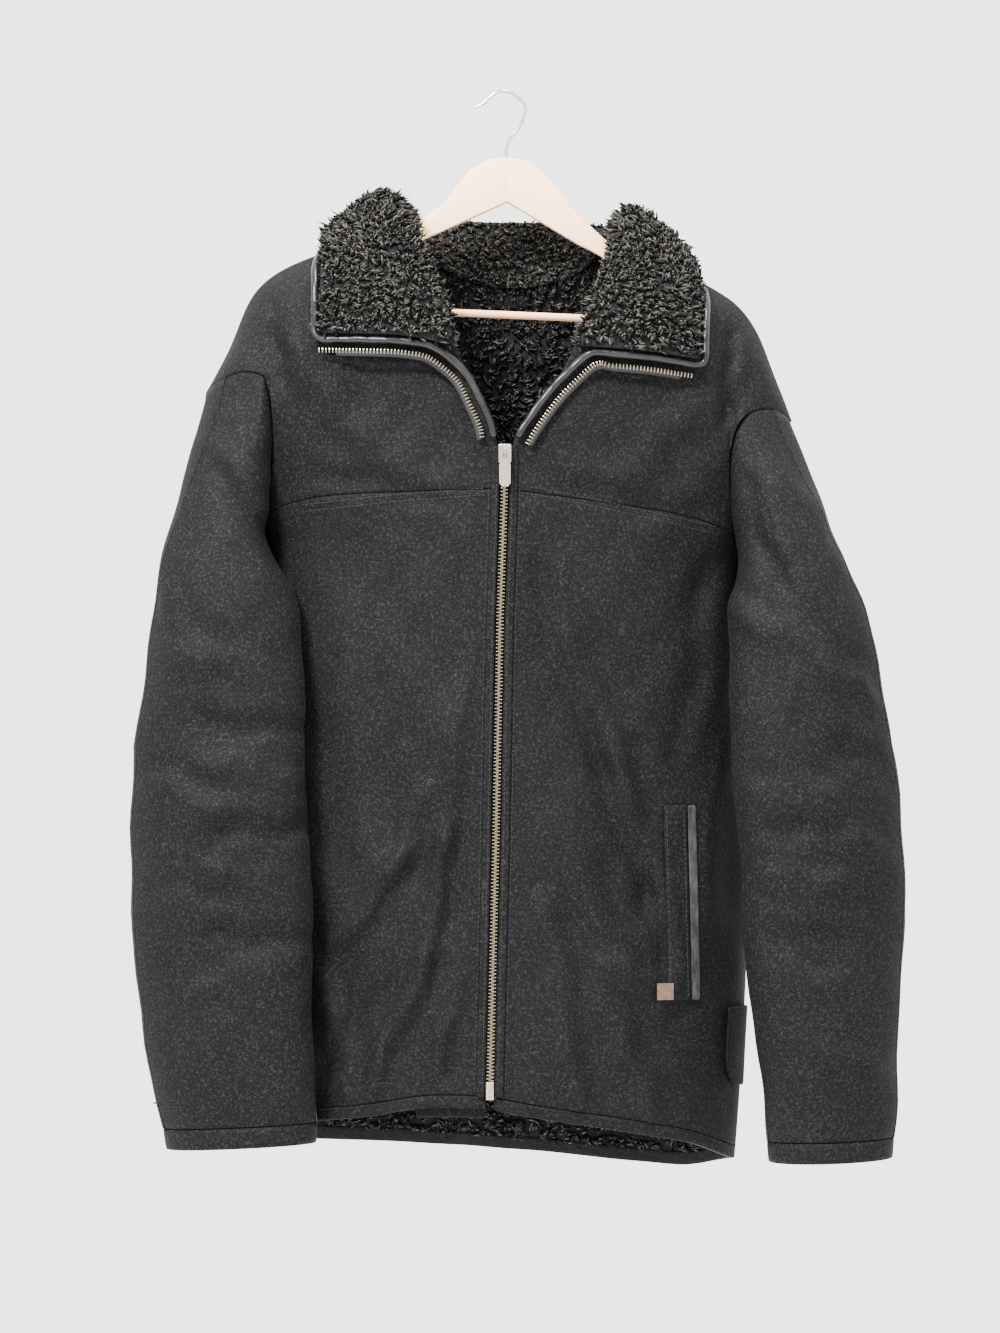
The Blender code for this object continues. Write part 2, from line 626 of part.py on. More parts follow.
def sleeve_grid(side, body_face):
    """Rows from the armhole to the cuff, columns round the sleeve from its outer side over the front."""
    left = side < 0
    table = SLEEVE_LEFT if left else SLEEVE_RIGHT
    back = curve(ARMHOLE_LEFT_BACK if left else ARMHOLE_RIGHT_BACK, LOOP_STEPS + 1)
    loop = armhole(side)
    count = len(loop)
    free = SLEEVE_FREE_LEFT if left else SLEEVE_FREE_RIGHT
    cuff_out, cuff_in = CUFF_LEFT if left else CUFF_RIGHT
    rows = [loop]
    for i in range(1, SLEEVE_BLEND_ROWS + 1):
        t = i / SLEEVE_BLEND_ROWS
        row = []
        for c in range(count):
            turn = 2 * math.pi * c / count
            z = loop[c][2] + (free - loop[c][2]) * t
            start = tube_point(side, table, loop[c][2], turn)
            row.append(tube_point(side, table, z, turn) + (1 - smooth_step(t)) * (loop[c] - start))
        rows.append(np.array(row))
    shares = list(np.linspace(0, 1, SLEEVE_ROWS + 1)[1:])
    ends = []
    for c in range(count):
        turn = 2 * math.pi * c / count
        ends.append(cuff_in + (cuff_out - cuff_in) * (0.5 + 0.5 * math.cos(turn)))
    for share in shares:
        row = [
            tube_point(side, table, free + (ends[c] + CUFF_HEIGHT - free) * share,
                       2 * math.pi * c / count)
            for c in range(count)
        ]
        rows.append(np.array(row))
    rows.append(np.array([tube_point(side, table, ends[c], 2 * math.pi * c / count)
                          for c in range(count)]))
    grid = np.array(rows)
    raised = fold_height(grid[1:, :, 0], grid[1:, :, 2], SLEEVE_FOLDS)
    facing = np.sin(2 * math.pi * np.arange(count) / count)
    grid[1:, :, 1] -= raised * np.sign(facing) * np.abs(facing) ** 0.5
    arm_line = back[:, [2, 0]]
    for turn_of in range(SLEEVE_SMOOTHING + 1):
        for r in range(1, len(grid)):
            room = SLEEVE_CLEARANCE * (0.7 + 0.3 * min(1.0, r / SLEEVE_BLEND_ROWS))
            for c in range(count):
                if r == 1 and c in (0, 1, count - 1):
                    continue
                x, y, z = grid[r, c]
                if c > LOOP_STEPS and z > loop[LOOP_STEPS][2] and c < count - 4:
                    limit = abs(column([tuple(row) for row in arm_line], 1, z)) + 0.4 * room
                    grid[r, c, 0] = side * max(abs(x), limit)
                grid[r, c] = clear_of_body(grid[r, c], room)
                x, y, z = grid[r, c]
                seen = body_face(x, z)
                if c < LOOP_STEPS and seen is not None and y > seen - room and r >= 2:
                    grid[r, c, 1] = seen - room
        if turn_of < SLEEVE_SMOOTHING:
            inner_side = slice(LOOP_STEPS - 5, LOOP_STEPS + 6)
            part = grid[1 : SLEEVE_BLEND_ROWS + 3]
            around = (np.roll(part, 1, axis=1) + np.roll(part, -1, axis=1)) / 2
            above = (grid[: SLEEVE_BLEND_ROWS + 2] + grid[2 : SLEEVE_BLEND_ROWS + 4]) / 2
            part[:, inner_side] = (0.4 * part + 0.3 * around + 0.3 * above)[:, inner_side]
    return grid


def clear_of_body(point, room):
    """Moves a place that lies in the body's side straight out of it."""
    x, y, z = point
    side = column(BODY, 1 if x < 0 else 2, z)
    front, back = column(BODY, 3, z) + room, column(BODY, 4, z) + room
    reach = abs(side) + room
    way = unit(np.array([x - side * SIDE_CORE, y]))
    while True:
        depth = max(0.0, 1 - (x / reach) ** 2) ** (SIDE_ROUNDING / 2)
        if abs(x) >= reach or not -front * depth < y < back * depth:
            return np.array([x, y, z])
        x, y = x + way[0], y + way[1]


def loop_normal(side, step, facing):
    """The way the wall faces along the armhole seam: out at the shoulder, down under the arm."""
    turn = math.pi * step / LOOP_STEPS
    over = np.array([side * 0.8, 0.0, 0.6]) * max(0.0, math.cos(turn))
    under = np.array([0.0, 0.0, -1.0]) * max(0.0, -math.cos(turn))
    forward = np.array([0.0, facing, 0.0]) * math.sin(turn)
    return unit(over + under + forward)


def armhole(side):
    """The whole armhole seam: from the shoulder point over the front to the underarm and back up."""
    left = side < 0
    front = curve(ARMHOLE_LEFT_FRONT if left else ARMHOLE_RIGHT_FRONT, LOOP_STEPS + 1)
    back = curve(ARMHOLE_LEFT_BACK if left else ARMHOLE_RIGHT_BACK, LOOP_STEPS + 1)
    return np.concatenate([front, back[::-1][1:-1]])


def loop_ways(side):
    """The wall's direction at each place of the armhole seam, square to the seam's own run."""
    loop = armhole(side)
    run = unit(np.roll(loop, -1, axis=0) - np.roll(loop, 1, axis=0))
    ways = []
    for c in range(len(loop)):
        over_front = c <= LOOP_STEPS
        step = c if over_front else 2 * LOOP_STEPS - c
        ways.append(loop_normal(side, step, -1.0 if over_front else 1.0))
    ways = np.array(ways)
    return unit(ways - (ways * run).sum(axis=1, keepdims=True) * run)


def outward(grid, normals, middle):
    """Turns a grid's normals to face away from a point inside."""
    if ((grid - middle) * normals).sum() < 0:
        return -normals
    return normals


def seam_normals(side, grid, normals, back, back_normals):
    """Gives both pieces at each seam the same wall direction."""
    place = 0 if side < 0 else -1
    ways = loop_ways(side)
    for step in range(LOOP_STEPS + 1):
        normals[step, -1] = ways[step]
        back_normals[step, place] = ways[-step]
    for row in range(LOOP_STEPS + 1, len(grid)):
        normals[row, -1] = (side, 0.0, 0.0)
        back_normals[row, place] = (side, 0.0, 0.0)
    top = grid[0]
    run = np.gradient(top, axis=0)
    over = unit(np.stack([-run[:, 2] * side, np.zeros(len(top)), run[:, 0] * side], axis=1))
    normals[0, :-1] = over[:-1]
    order = range(FRONT_COLUMNS, 0, -1) if side < 0 else range(FRONT_COLUMNS)
    if side < 0:
        for i, c in enumerate(order):
            if c != FRONT_COLUMNS:
                back_normals[0, i] = over[c]
        back_normals[0, FRONT_COLUMNS] = over[0]
    else:
        first = back.shape[1] - 1 - FRONT_COLUMNS
        for c in order:
            back_normals[0, first + c] = over[c]


def face_finder(grids):
    """A function that gives the front face's depth at a place across and up the body."""
    points, halves = [], []
    for grid in grids:
        start = len(points)
        points += [Vector(p) for p in grid.reshape(-1, 3)]
        n_columns = grid.shape[1]
        for r in range(grid.shape[0] - 1):
            for c in range(n_columns - 1):
                a = start + r * n_columns + c
                halves.append((a, a + 1, a + n_columns + 1))
                halves.append((a, a + n_columns + 1, a + n_columns))
    tree = BVHTree.FromPolygons(points, halves)

    def find(x, z):
        hit = tree.ray_cast(Vector((x, -400.0, z)), Vector((0.0, 1.0, 0.0)))
        return None if hit[0] is None else hit[0].y

    return find


def strip_on(name, find, centre, width, thickness, finish, lift=STRIP_LIFT, steps=2):
    """A flat piece lying on the front, along a centre line of places (x, z)."""
    centre = np.array(centre, float)
    run = unit(np.gradient(centre, axis=0))
    side = np.stack([-run[:, 1], run[:, 0]], axis=1)
    rows = []
    for place, way in zip(centre, side):
        row = []
        for share in np.linspace(-0.5, 0.5, steps + 1):
            x, z = place + way * width * share
            y = find(x, z)
            row.append((x, (find(place[0], place[1]) if y is None else y) - lift - thickness, z))
        rows.append(row)
    outer = np.array(rows)
    forward = np.zeros(outer.shape)
    forward[:, :, 1] = -1.0
    return wall(name, outer, forward, thickness, finish)


def rod(name, path, width, depth, finish, sides=8, facing=(0.0, -1.0, 0.0)):
    """A closed rod with flat sides along a path, as wide and deep as given across its flats."""
    path = np.array(path, float)
    run = unit(np.gradient(path, axis=0))
    front = np.broadcast_to(np.array(facing, float), path.shape)
    front = unit(front - (front * run).sum(axis=1, keepdims=True) * run)
    side = np.cross(run, front)
    across_flats = math.cos(math.pi / sides) if sides == 4 else 1.0
    rings = []
    for k in range(sides):
        turn = 2 * math.pi * (k + 0.5) / sides
        sideways = side * math.cos(turn) * width / 2 / across_flats
        rings.append(path + sideways + front * math.sin(turn) * depth / 2 / across_flats)
    return lofted(name, np.stack(rings, axis=1), finish)


def box(name, centre, size, finish, turn=0.0, bevel=0.0):
    work = bmesh.new()
    bmesh.ops.create_cube(work, size=1.0)
    bmesh.ops.scale(work, vec=Vector(size), verts=work.verts)
    if bevel:
        bmesh.ops.bevel(work, geom=work.edges[:], offset=bevel, segments=2, profile=0.5,
                        affect="EDGES")
    points = np.array([v.co for v in work.verts])
    faces = [[v.index for v in f.verts] for f in work.faces]
    work.free()
    c, s = math.cos(turn), math.sin(turn)
    spun = np.stack([points[:, 0] * c + points[:, 2] * s, points[:, 1],
                     -points[:, 0] * s + points[:, 2] * c], axis=1)
    return mesh_object(name, spun + np.array(centre), faces, finish)


def push_forward(grid, find):
    """Brings a lapel forward where its back would lie in the front below it."""
    for _ in range(4):
        normals = grid_normals(grid)
        if normals[..., 1].sum() > 0:
            normals = -normals
        under = grid - normals * COLLAR_WALL
        for r in range(grid.shape[0] - 1):
            for c in range(grid.shape[1]):
                for x, y, z, depth in (
                    (*under[r, c], 0.0),
                    (*grid[r, c], COLLAR_WALL),
                ):
                    seen = find(x, z)
                    if seen is not None:
                        grid[r, c, 1] -= max(0.0, y + depth - seen + LAPEL_LIFT)
    return grid


def lapel_grid(table, find):
    roll = curve(table["roll"], LAPEL_ROWS + 1)
    crest = curve(table["crest"], LAPEL_COLUMNS + 1)
    outer = curve(table["outer"][::-1], LAPEL_ROWS + 1)
    lower = curve(table["lower"], LAPEL_COLUMNS + 1)
    grid = blended_patch(lower, crest, roll, outer)
    puff = np.outer(np.sin(np.linspace(0, math.pi, LAPEL_ROWS + 1)),
                    np.sin(np.linspace(0, math.pi, LAPEL_COLUMNS + 1)))
    grid[:, :, 1] -= 5.0 * puff
    return push_forward(grid, find)


def collar_back_grid(left, right, back):
    """The stand behind the neck, pile side, from one lapel's crest to the other's."""
    seam = back[0, FRONT_COLUMNS : back.shape[1] - FRONT_COLUMNS]
    seam = curve(seam, COLLAR_COLUMNS + 1)
    run = unit(np.gradient(seam, axis=0))
    inwards = unit(np.stack([-run[:, 1], run[:, 0], np.zeros(len(run))], axis=1))
    inwards *= -np.sign((inwards * seam).sum(axis=1, keepdims=True))
    neck = seam + inwards * COLLAR_WALL + np.array([0.0, 0.0, COLLAR_LIFT])
    neck[0], neck[-1] = left[0], right[0]
    top = curve(COLLAR_TOP_EDGE, COLLAR_COLUMNS + 1)
    u = np.linspace(0, 1, COLLAR_COLUMNS + 1)[None, :, None]
    v = np.linspace(0, 1, LAPEL_COLUMNS + 1)[:, None, None]
    straight = (1 - v) * neck[None] + v * top[None]
    first = left[:, None] - straight[:, :1]
    last = right[:, None] - straight[:, -1:]
    return straight + (1 - u) ** 4 * first + u**4 * last, -inwards


def lofted(name, rings, finish):
    """A closed solid through rings of points, with flat ends."""
    n_rows, sides = rings.shape[:2]
    faces = [list(range(sides)), [(n_rows - 1) * sides + k for k in range(sides)]]
    for r in range(n_rows - 1):
        for k in range(sides):
            a, b = r * sides + k, r * sides + (k + 1) % sides
            faces.append([a, b, b + sides, a + sides])
    return mesh_object(name, rings.reshape(-1, 3), faces, finish)


def zip_place(z, find):
    """The middle of the zip on the front's face at one height."""
    x = column(ZIP_LINE, 1, z)
    beside = [find(x + shift, z) for shift in (-ZIP_HALF_GAP - 2, ZIP_HALF_GAP + 2)]
    beside = [y for y in beside if y is not None]
    return np.array([x, sum(beside) / len(beside), z])


def make_zip(find, metal):
    chain = [zip_place(z, find) for z in np.linspace(ZIP_TOP, ZIP_BOTTOM, 12)]
    rod("zip_chain", chain, ZIP_CHAIN_WIDTH, ZIP_CHAIN_DEPTH, metal, sides=4)
    foot = zip_place(ZIP_BOTTOM - 8.0, find)
    box("zip_box", foot, (6.6, 4.0, 15.0), metal, bevel=0.6)
    face = zip_place(ZIP_TOP + 9.0, find)
    slider_back = STRIP_LIFT + STRIP_THICKNESS + SEAT_GAP
    centre = face + np.array([0.0, -slider_back - SLIDER_DEPTH / 2, 0.0])
    box("zip_slider", centre, (SLIDER_WIDTH, SLIDER_DEPTH, SLIDER_HEIGHT), metal, bevel=1.2)
    front = centre[1] - SLIDER_DEPTH / 2
    pivot = np.array([centre[0], front - PIVOT_STANDOFF, PIVOT_HEIGHT])
    arch = [
        (pivot[0], front - SEAT_GAP, pivot[2] + ARCH_REACH),
        (pivot[0], pivot[1] - ARCH_REACH + 1.0, pivot[2] + ARCH_REACH),
        (pivot[0], pivot[1] - ARCH_REACH, pivot[2] + ARCH_REACH - 1.0),
        (pivot[0], pivot[1] - ARCH_REACH, pivot[2] - ARCH_REACH + 1.0),
        (pivot[0], pivot[1] - ARCH_REACH + 1.0, pivot[2] - ARCH_REACH),
        (pivot[0], front - SEAT_GAP, pivot[2] - ARCH_REACH),
    ]
    rod("zip_crown", arch, 1.8, 1.8, metal, facing=(1.0, 0.0, 0.0))
    hinge = bpy.data.objects.new("pull_tab_axis", None)
    bpy.context.scene.collection.objects.link(hinge)
    hinge.location = Vector(pivot) * MM
    outline = [
        (-3.2, 1.2), (3.2, 1.2), (3.4, -6.5), (PULL_WIDTH / 2, -11.0), (PULL_WIDTH / 2, -26.0),
        (2.6, -PULL_LENGTH), (-2.6, -PULL_LENGTH), (-PULL_WIDTH / 2, -26.0),
        (-PULL_WIDTH / 2, -11.0), (-3.4, -6.5),
    ]
    window = [(-2.0, -1.2), (2.0, -1.2), (2.0, -5.6), (-2.0, -5.6)]
    pull = plate_from("zip_pull_tab", outline, PULL_THICKNESS, metal)
    cutter = plate_from("pull_window", window, PULL_THICKNESS * 2, metal)
    cutter.hide_render = True
    cutter.display_type = "WIRE"
    cutter.parent = hinge
    cut = pull.modifiers.new("window", "BOOLEAN")
    cut.operation = "DIFFERENCE"
    cut.object = cutter
    pull.parent = hinge


def plate_from(name, outline, thickness, finish):
    """A flat plate of one outline (x, z), standing in the plane of the jacket's front."""
    rings = np.array([[(x, y, z) for x, z in outline] for y in (-thickness / 2, thickness / 2)])
    return lofted(name, rings, finish)


def make_rims(side, name, lapel, normals, find, binding, metal, tape):
    """The leather binding, the open zip row and its tape round one lapel and down to the slider."""
    rolled = ROLLED_EDGE_LEFT if side < 0 else ROLLED_EDGE_RIGHT
    middle = lapel - normals * COLLAR_WALL / 2
    reach = BINDING_WIDTH / 2 + SEAT_GAP
    flat = np.array([1.0, 0.0, 1.0])
    low_away = unit((lapel[0, ::-1] - lapel[1, ::-1]) * flat)
    edge_away = unit((lapel[::-1, -1] - lapel[::-1, -2]) * flat)
    low = middle[0, ::-1] + low_away * (reach + LOW_EASE)
    ease = np.zeros((len(lapel), 1))
    ease[1 : len(CREST_EASE) + 1, 0] = CREST_EASE
    edge = middle[::-1, -1] + edge_away * (reach + ease)
    corner = middle[0, -1] + (low_away[0] + edge_away[-1]) * reach
    rolled_rows = np.array(
        [(x, find(x + side * 4, z) - BINDING_DEPTH / 2 - 1.0, z) for x, z in rolled]
    )
    forward = np.tile((0.0, -1.0, 0.0), (len(rolled), 1))
    path = np.concatenate([edge[1:-1], corner[None], low[1:-1], rolled_rows])
    ways = np.concatenate([normals[::-1, -1][1:], normals[0, ::-1][1:-1], forward])
    both = curve(np.concatenate([path, ways * 0.001], axis=1), 30)
    path, ways = both[:, :3], unit(both[:, 3:])
    rest_on(path, find, BINDING_DEPTH)
    rod(f"lapel_binding_{name}", path, BINDING_WIDTH, BINDING_DEPTH, binding, sides=6, facing=ways)
    line = np.concatenate([low[1:-1], rolled_rows])
    ways = np.concatenate([normals[0, ::-1][1:-1], forward])
    row_shift = (BINDING_WIDTH + TEETH_WIDTH) / 2 + ROW_EASE[name]
    tape_shift = row_shift + (TEETH_WIDTH + TAPE_WIDTH) / 2 + 2 * SEAT_GAP
    for piece, shift, width, depth, finish in (
        (f"zip_row_{name}", row_shift, TEETH_WIDTH, TEETH_DEPTH, metal),
        (f"zip_tape_{name}", tape_shift, TAPE_WIDTH, TAPE_DEPTH, tape),
    ):
        run = unit(np.gradient(line, axis=0))
        away = unit(np.cross(run, ways)) * side
        away *= np.sign(-away[:, 2:3].sum())
        both = curve(np.concatenate([line + away * shift, ways * 0.001], axis=1), 20)
        moved, turned = both[:, :3], unit(both[:, 3:])
        rest_on(moved, find, depth)
        rod(piece, moved, width, depth, finish, sides=4, facing=turned)


def rest_on(path, find, depth):
    """Keeps a rod's path in front of the panel that it lies on."""
    for place in path:
        seen = find(place[0], place[2])
        if seen is not None:
            place[1] = min(place[1], seen - depth / 2 - 0.9)


def make_front_trim(find, leather, binding, worn, plate):
    for side, name in ((-1, "left"), (1, "right")):
        centre = [
            (column(ZIP_LINE, 1, z) + side * (ZIP_HALF_GAP + 0.6 + STRIP_WIDTH / 2), z)
            for z in np.linspace(-306.0, -856.0, 24)
        ]
        strip_on(f"front_edge_{name}", find, centre, STRIP_WIDTH, STRIP_THICKNESS, binding, steps=1)
        x = POCKET_LEFT_X if side < 0 else POCKET_RIGHT_X
        lean = 4.0
        heights = np.linspace(POCKET_TOP, POCKET_FOOT, 12)
        welt = [(x + lean * (POCKET_TOP - z) / (POCKET_TOP - POCKET_FOOT), z) for z in heights]
        strip_on(f"pocket_welt_{name}", find, welt, WELT_WIDTH, WELT_THICKNESS, leather, steps=3)
        shift = side * ((WELT_WIDTH + FACING_WIDTH) / 2 + SEAT_GAP)
        facing = [(px + shift, z) for px, z in welt]
        strip_on(f"pocket_facing_{name}", find, facing, FACING_WIDTH, STRIP_THICKNESS, worn, steps=1)
    x = POCKET_RIGHT_X - 8.5
    centre = [(x, POCKET_FOOT + 1.0 + PLATE_SIZE), (x, POCKET_FOOT + 1.0)]
    strip_on("pocket_plate", find, centre, PLATE_SIZE, PLATE_THICKNESS, plate,
             lift=WELT_THICKNESS + STRIP_LIFT + SEAT_GAP)


def make_flap(front, normals, leather):
    """The strip behind the left front edge, from the yoke to just below the hem."""
    rows = slice(YOKE_ROW, len(front))
    seat = np.full(len(front), WALL + SEAT_GAP)
    seat[-2:] = HEM_WALL + SEAT_GAP
    behind = front - normals * seat[:, None, None]
    drop = unit(front[-1] - front[-2]) * FLAP_DROP
    grid = np.concatenate([behind[rows], (behind[-1] + drop)[None]])[:, :FLAP_COLUMNS]
    ways = np.concatenate([normals[rows], normals[-1:]])[:, :FLAP_COLUMNS]
    wall("wind_flap", grid, ways, FLAP_THICKNESS, leather)


def make_straps(leather):
    for side, name, key in ((-1, "left", 1), (1, "right", 2)):
        grid = []
        for z, front, rear in SIDE_STRAP:
            row = []
            for y in np.linspace(front, rear, 7):
                depth = column(BODY, 3 if y < 0 else 4, z)
                reach = 1 - (abs(y) / depth) ** (2 / SIDE_ROUNDING)
                row.append((column(BODY, key, z) * math.sqrt(reach), y, z))
            grid.append(row)
        grid = np.array(grid)
        ways = outward(grid, grid_normals(grid), np.array([0.0, 0.0, -800.0]))
        seat = STRAP_THICKNESS + STRAP_EASE
        wall(f"side_strap_{name}", grid + ways * seat, ways, STRAP_THICKNESS, leather)


def make_hanger(shoulders, wood, chrome):
    """The wooden yoke with its arms under the shoulder seams, the trouser bar and the hook."""
    rings = []
    for x in HANGER_STATIONS:
        top, low = column(HANGER_TOP, 1, x), column(HANGER_LOW, 1, x)
        if abs(x) > HANGER_HIDDEN_FROM:
            under = [np.interp(abs(x), np.abs(row[:, 0]), row[:, 2]) for row in shoulders
                     if row[0, 0] * x > 0][0]
            top = under - HANGER_SEAT
        half, middle = (top - low) / 2, (top + low) / 2
        depth = np.interp(abs(x), (50.0, 72.0), (HANGER_DEPTH, HANGER_ARM_DEPTH))
        ring = []
        for k in range(10):
            turn = 2 * math.pi * k / 10
            y = depth / 2 * math.sin(turn)
            ring.append((x, y, middle + half * math.cos(turn)))
        rings.append(ring)
    lofted("hanger_yoke", np.array(rings), wood)
    ends = [(x, 0.0, z) for x, z in BAR_ENDS]
    rod("hanger_bar", ends, BAR_DIAMETER, BAR_DIAMETER, wood, sides=10)
    wire = curve([(x, 0.0, z) for x, z in HOOK], 26)
    rod("hanger_hook", wire, HOOK_WIRE, HOOK_WIRE, chrome)


def main():
    clear_scene()
    leather = material("outer_leather", (0.018, 0.018, 0.020), 0.55)
    binding = material("binding_leather", (0.010, 0.010, 0.011), 0.35)
    pile = material("pile", (0.060, 0.056, 0.050), 0.95)
    brass = material("zip_metal", (0.60, 0.54, 0.42), 0.30, 1.0)
    tape = material("zip_tape", (0.012, 0.012, 0.013), 0.85)
    worn = material("worn_facing", (0.10, 0.10, 0.09), 0.60)
    wood = material("birch", (0.93, 0.76, 0.56), 0.45)
    chrome = material("hook_wire", (0.80, 0.80, 0.80), 0.15, 1.0)
    plate = material("plate", (0.60, 0.47, 0.38), 0.35, 1.0)

    front_left, front_right, back = front_grid(-1), front_grid(1), back_grid()
    match_sides(front_left, front_right, back)
    middle = np.array([0.0, 0.0, -500.0])
    normals_left = outward(front_left, grid_normals(front_left), middle)
    normals_right = outward(front_right, grid_normals(front_right), middle)
    normals_back = outward(back, grid_normals(back), middle)
    seam_normals(-1, front_left, normals_left, back, normals_back)
    seam_normals(1, front_right, normals_right, back, normals_back)
    for i, share in enumerate(LOOP_BLEND):
        for edge, beside in ((0, i + 1), (-1, -i - 2)):
            mixed = share * normals_back[: LOOP_STEPS + 1, edge]
            mixed = mixed + (1 - share) * normals_back[: LOOP_STEPS + 1, beside]
            normals_back[: LOOP_STEPS + 1, beside] = unit(mixed)
    find = face_finder([front_left, front_right])

    hem_row = LOOP_STEPS + BODY_ROWS
    for name, grid, normals in (
        ("left", front_left, normals_left),
        ("right", front_right, normals_right),
    ):
        hem_line = grid[-1] - unit(grid[-1] - grid[-2]) * HEM_HEIGHT
        full = np.concatenate([grid[:-1], hem_line[None], grid[-1:]])
        ways = np.concatenate([normals, normals[-1:]])
        wall(f"yoke_{name}", full, ways, WALL, leather, rows=(0, YOKE_ROW))
        wall(f"front_{name}", full, ways, WALL, leather, rows=(YOKE_ROW, hem_row))
        wall(f"hem_front_{name}", full, ways, HEM_WALL, leather, rows=(hem_row, hem_row + 1))
    hem_line = back[-1] - unit(back[-1] - back[-2]) * HEM_HEIGHT
    full = np.concatenate([back[:-1], hem_line[None], back[-1:]])
    ways = np.concatenate([normals_back, normals_back[-1:]])
    wall("back", full, ways, WALL, leather, rows=(0, hem_row))
    wall("hem_back", full, ways, HEM_WALL, leather, rows=(hem_row, hem_row + 1))

    for side, name in ((-1, "left"), (1, "right")):
        grid = sleeve_grid(side, find)
        count = grid.shape[1]
        normals = grid_normals(grid, closed=True)
        centre = grid.mean(axis=1, keepdims=True)
        if ((grid - centre) * normals).sum() < 0:
            normals = -normals
        radial = unit(grid - centre)
        for row in range(1, SLEEVE_BLEND_ROWS):
            share = 1 - row / SLEEVE_BLEND_ROWS
            normals[row] = unit(share * radial[row] + (1 - share) * normals[row])
        normals[0] = loop_ways(side)
        places = np.arange(count)
        ease = np.clip((places - LOOP_STEPS + 4) / 4, 0, 1) * np.clip((count - places) / 4, 0, 1)
        grid[0, :, 0] += side * UNDERARM_EASE * ease
        foot = len(grid) - 2
        seam = SLEEVE_SEAM_COLUMN
        front_half = grid.copy()
        under = slice(0, SLEEVE_SEAM_COLUMN + 1)
        away = unit(grid[under, LOOP_STEPS - 1] - grid[under, LOOP_STEPS])
        front_half[under, LOOP_STEPS] += away * UNDERARM_SEAM_EASE
        wall(f"sleeve_{name}_front", front_half, normals, WALL, leather, rows=(0, foot),
             columns=(seam, LOOP_STEPS))
        wall(f"sleeve_{name}_back", grid, normals, WALL, leather, rows=(0, foot),
             columns=(LOOP_STEPS, count + seam))
        wall(f"cuff_{name}", grid, normals, CUFF_WALL, leather, closed=True, rows=(foot, foot + 1))

    lapels, ends = {}, {}
    for side, name, table in ((-1, "left", LAPEL_LEFT), (1, "right", LAPEL_RIGHT)):
        grid = lapel_grid(table, find)
        normals = grid_normals(grid)
        if normals[..., 1].sum() > 0:
            normals = -normals
        normals[-1] = unit(normals[-1] * np.array([1.0, 0.0, 1.0]))
        normals[0] = (0.0, -1.0, 0.0)
        normals[:-CREST_ROWS, -1] = (0.0, -1.0, 0.0)
        lapels[name], ends[name] = grid, normals[-1]
        wall(f"lapel_{name}", grid, normals, COLLAR_WALL, pile)
        make_rims(side, name, grid, normals, find, binding, brass, tape)

    stand, away = collar_back_grid(lapels["left"][-1], lapels["right"][-1], back)
    normals = grid_normals(stand)
    if normals[4, COLLAR_COLUMNS // 2, 1] > 0:
        normals = -normals
    normals[0] = -away
    normals[:, 0], normals[:, -1] = ends["left"], ends["right"]
    wall("collar_back", stand, normals, COLLAR_WALL, pile)

    make_zip(find, brass)
    make_front_trim(find, leather, binding, worn, plate)
    make_flap(front_left, normals_left, leather)
    make_straps(leather)
    lining = face_finder([back - normals_back * WALL])
    strip_on("hang_loop", lining, HANG_LOOP, HANG_LOOP_HEIGHT, HANG_LOOP_THICKNESS, leather,
             lift=SEAT_GAP)
    inner_ridges = [grid[0] - ways[0] * WALL for grid, ways in
                    ((front_left, normals_left), (front_right, normals_right))]
    make_hanger(inner_ridges, wood, chrome)


main()
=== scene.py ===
import json
import math

import bmesh
import bpy
import numpy as np
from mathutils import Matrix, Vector
from mathutils.bvhtree import BVHTree
from mathutils.kdtree import KDTree


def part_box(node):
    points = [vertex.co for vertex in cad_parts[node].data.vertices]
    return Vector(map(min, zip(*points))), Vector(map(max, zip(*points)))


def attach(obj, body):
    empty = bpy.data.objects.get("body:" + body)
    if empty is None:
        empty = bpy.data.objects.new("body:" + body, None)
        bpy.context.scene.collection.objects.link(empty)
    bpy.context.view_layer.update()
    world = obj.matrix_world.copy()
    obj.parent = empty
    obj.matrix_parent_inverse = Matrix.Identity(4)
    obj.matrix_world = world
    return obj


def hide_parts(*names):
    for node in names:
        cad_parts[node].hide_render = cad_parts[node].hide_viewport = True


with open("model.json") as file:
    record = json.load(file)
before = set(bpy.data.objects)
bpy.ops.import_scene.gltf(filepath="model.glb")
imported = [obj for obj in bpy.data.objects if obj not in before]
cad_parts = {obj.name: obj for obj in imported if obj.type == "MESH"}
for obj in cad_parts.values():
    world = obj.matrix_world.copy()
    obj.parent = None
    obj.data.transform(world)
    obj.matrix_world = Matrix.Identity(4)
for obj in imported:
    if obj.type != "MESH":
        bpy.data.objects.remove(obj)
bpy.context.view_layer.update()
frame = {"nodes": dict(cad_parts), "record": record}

bl_info = {
    "name": "Shearling jacket on a hanger",
    "version": (1, 0, 0),
    "blender": (4, 5, 0),
    "location": "3D View > Sidebar > Jacket",
    "description": "Creased leather, tufted pile, zip teeth and stitches round the packed jacket",
    "category": "Object",
}

MM = 0.001
NODES = frame["nodes"]
JACKET = "jacket"

# The photograph's frame: its height at the jacket, the camera's distance and its aim
FRAME_HEIGHT = 1.133
CAMERA_DISTANCE = 5.0
CAMERA_X = -0.0025
CAMERA_Z = -0.4926
SENSOR_HEIGHT = 24.0

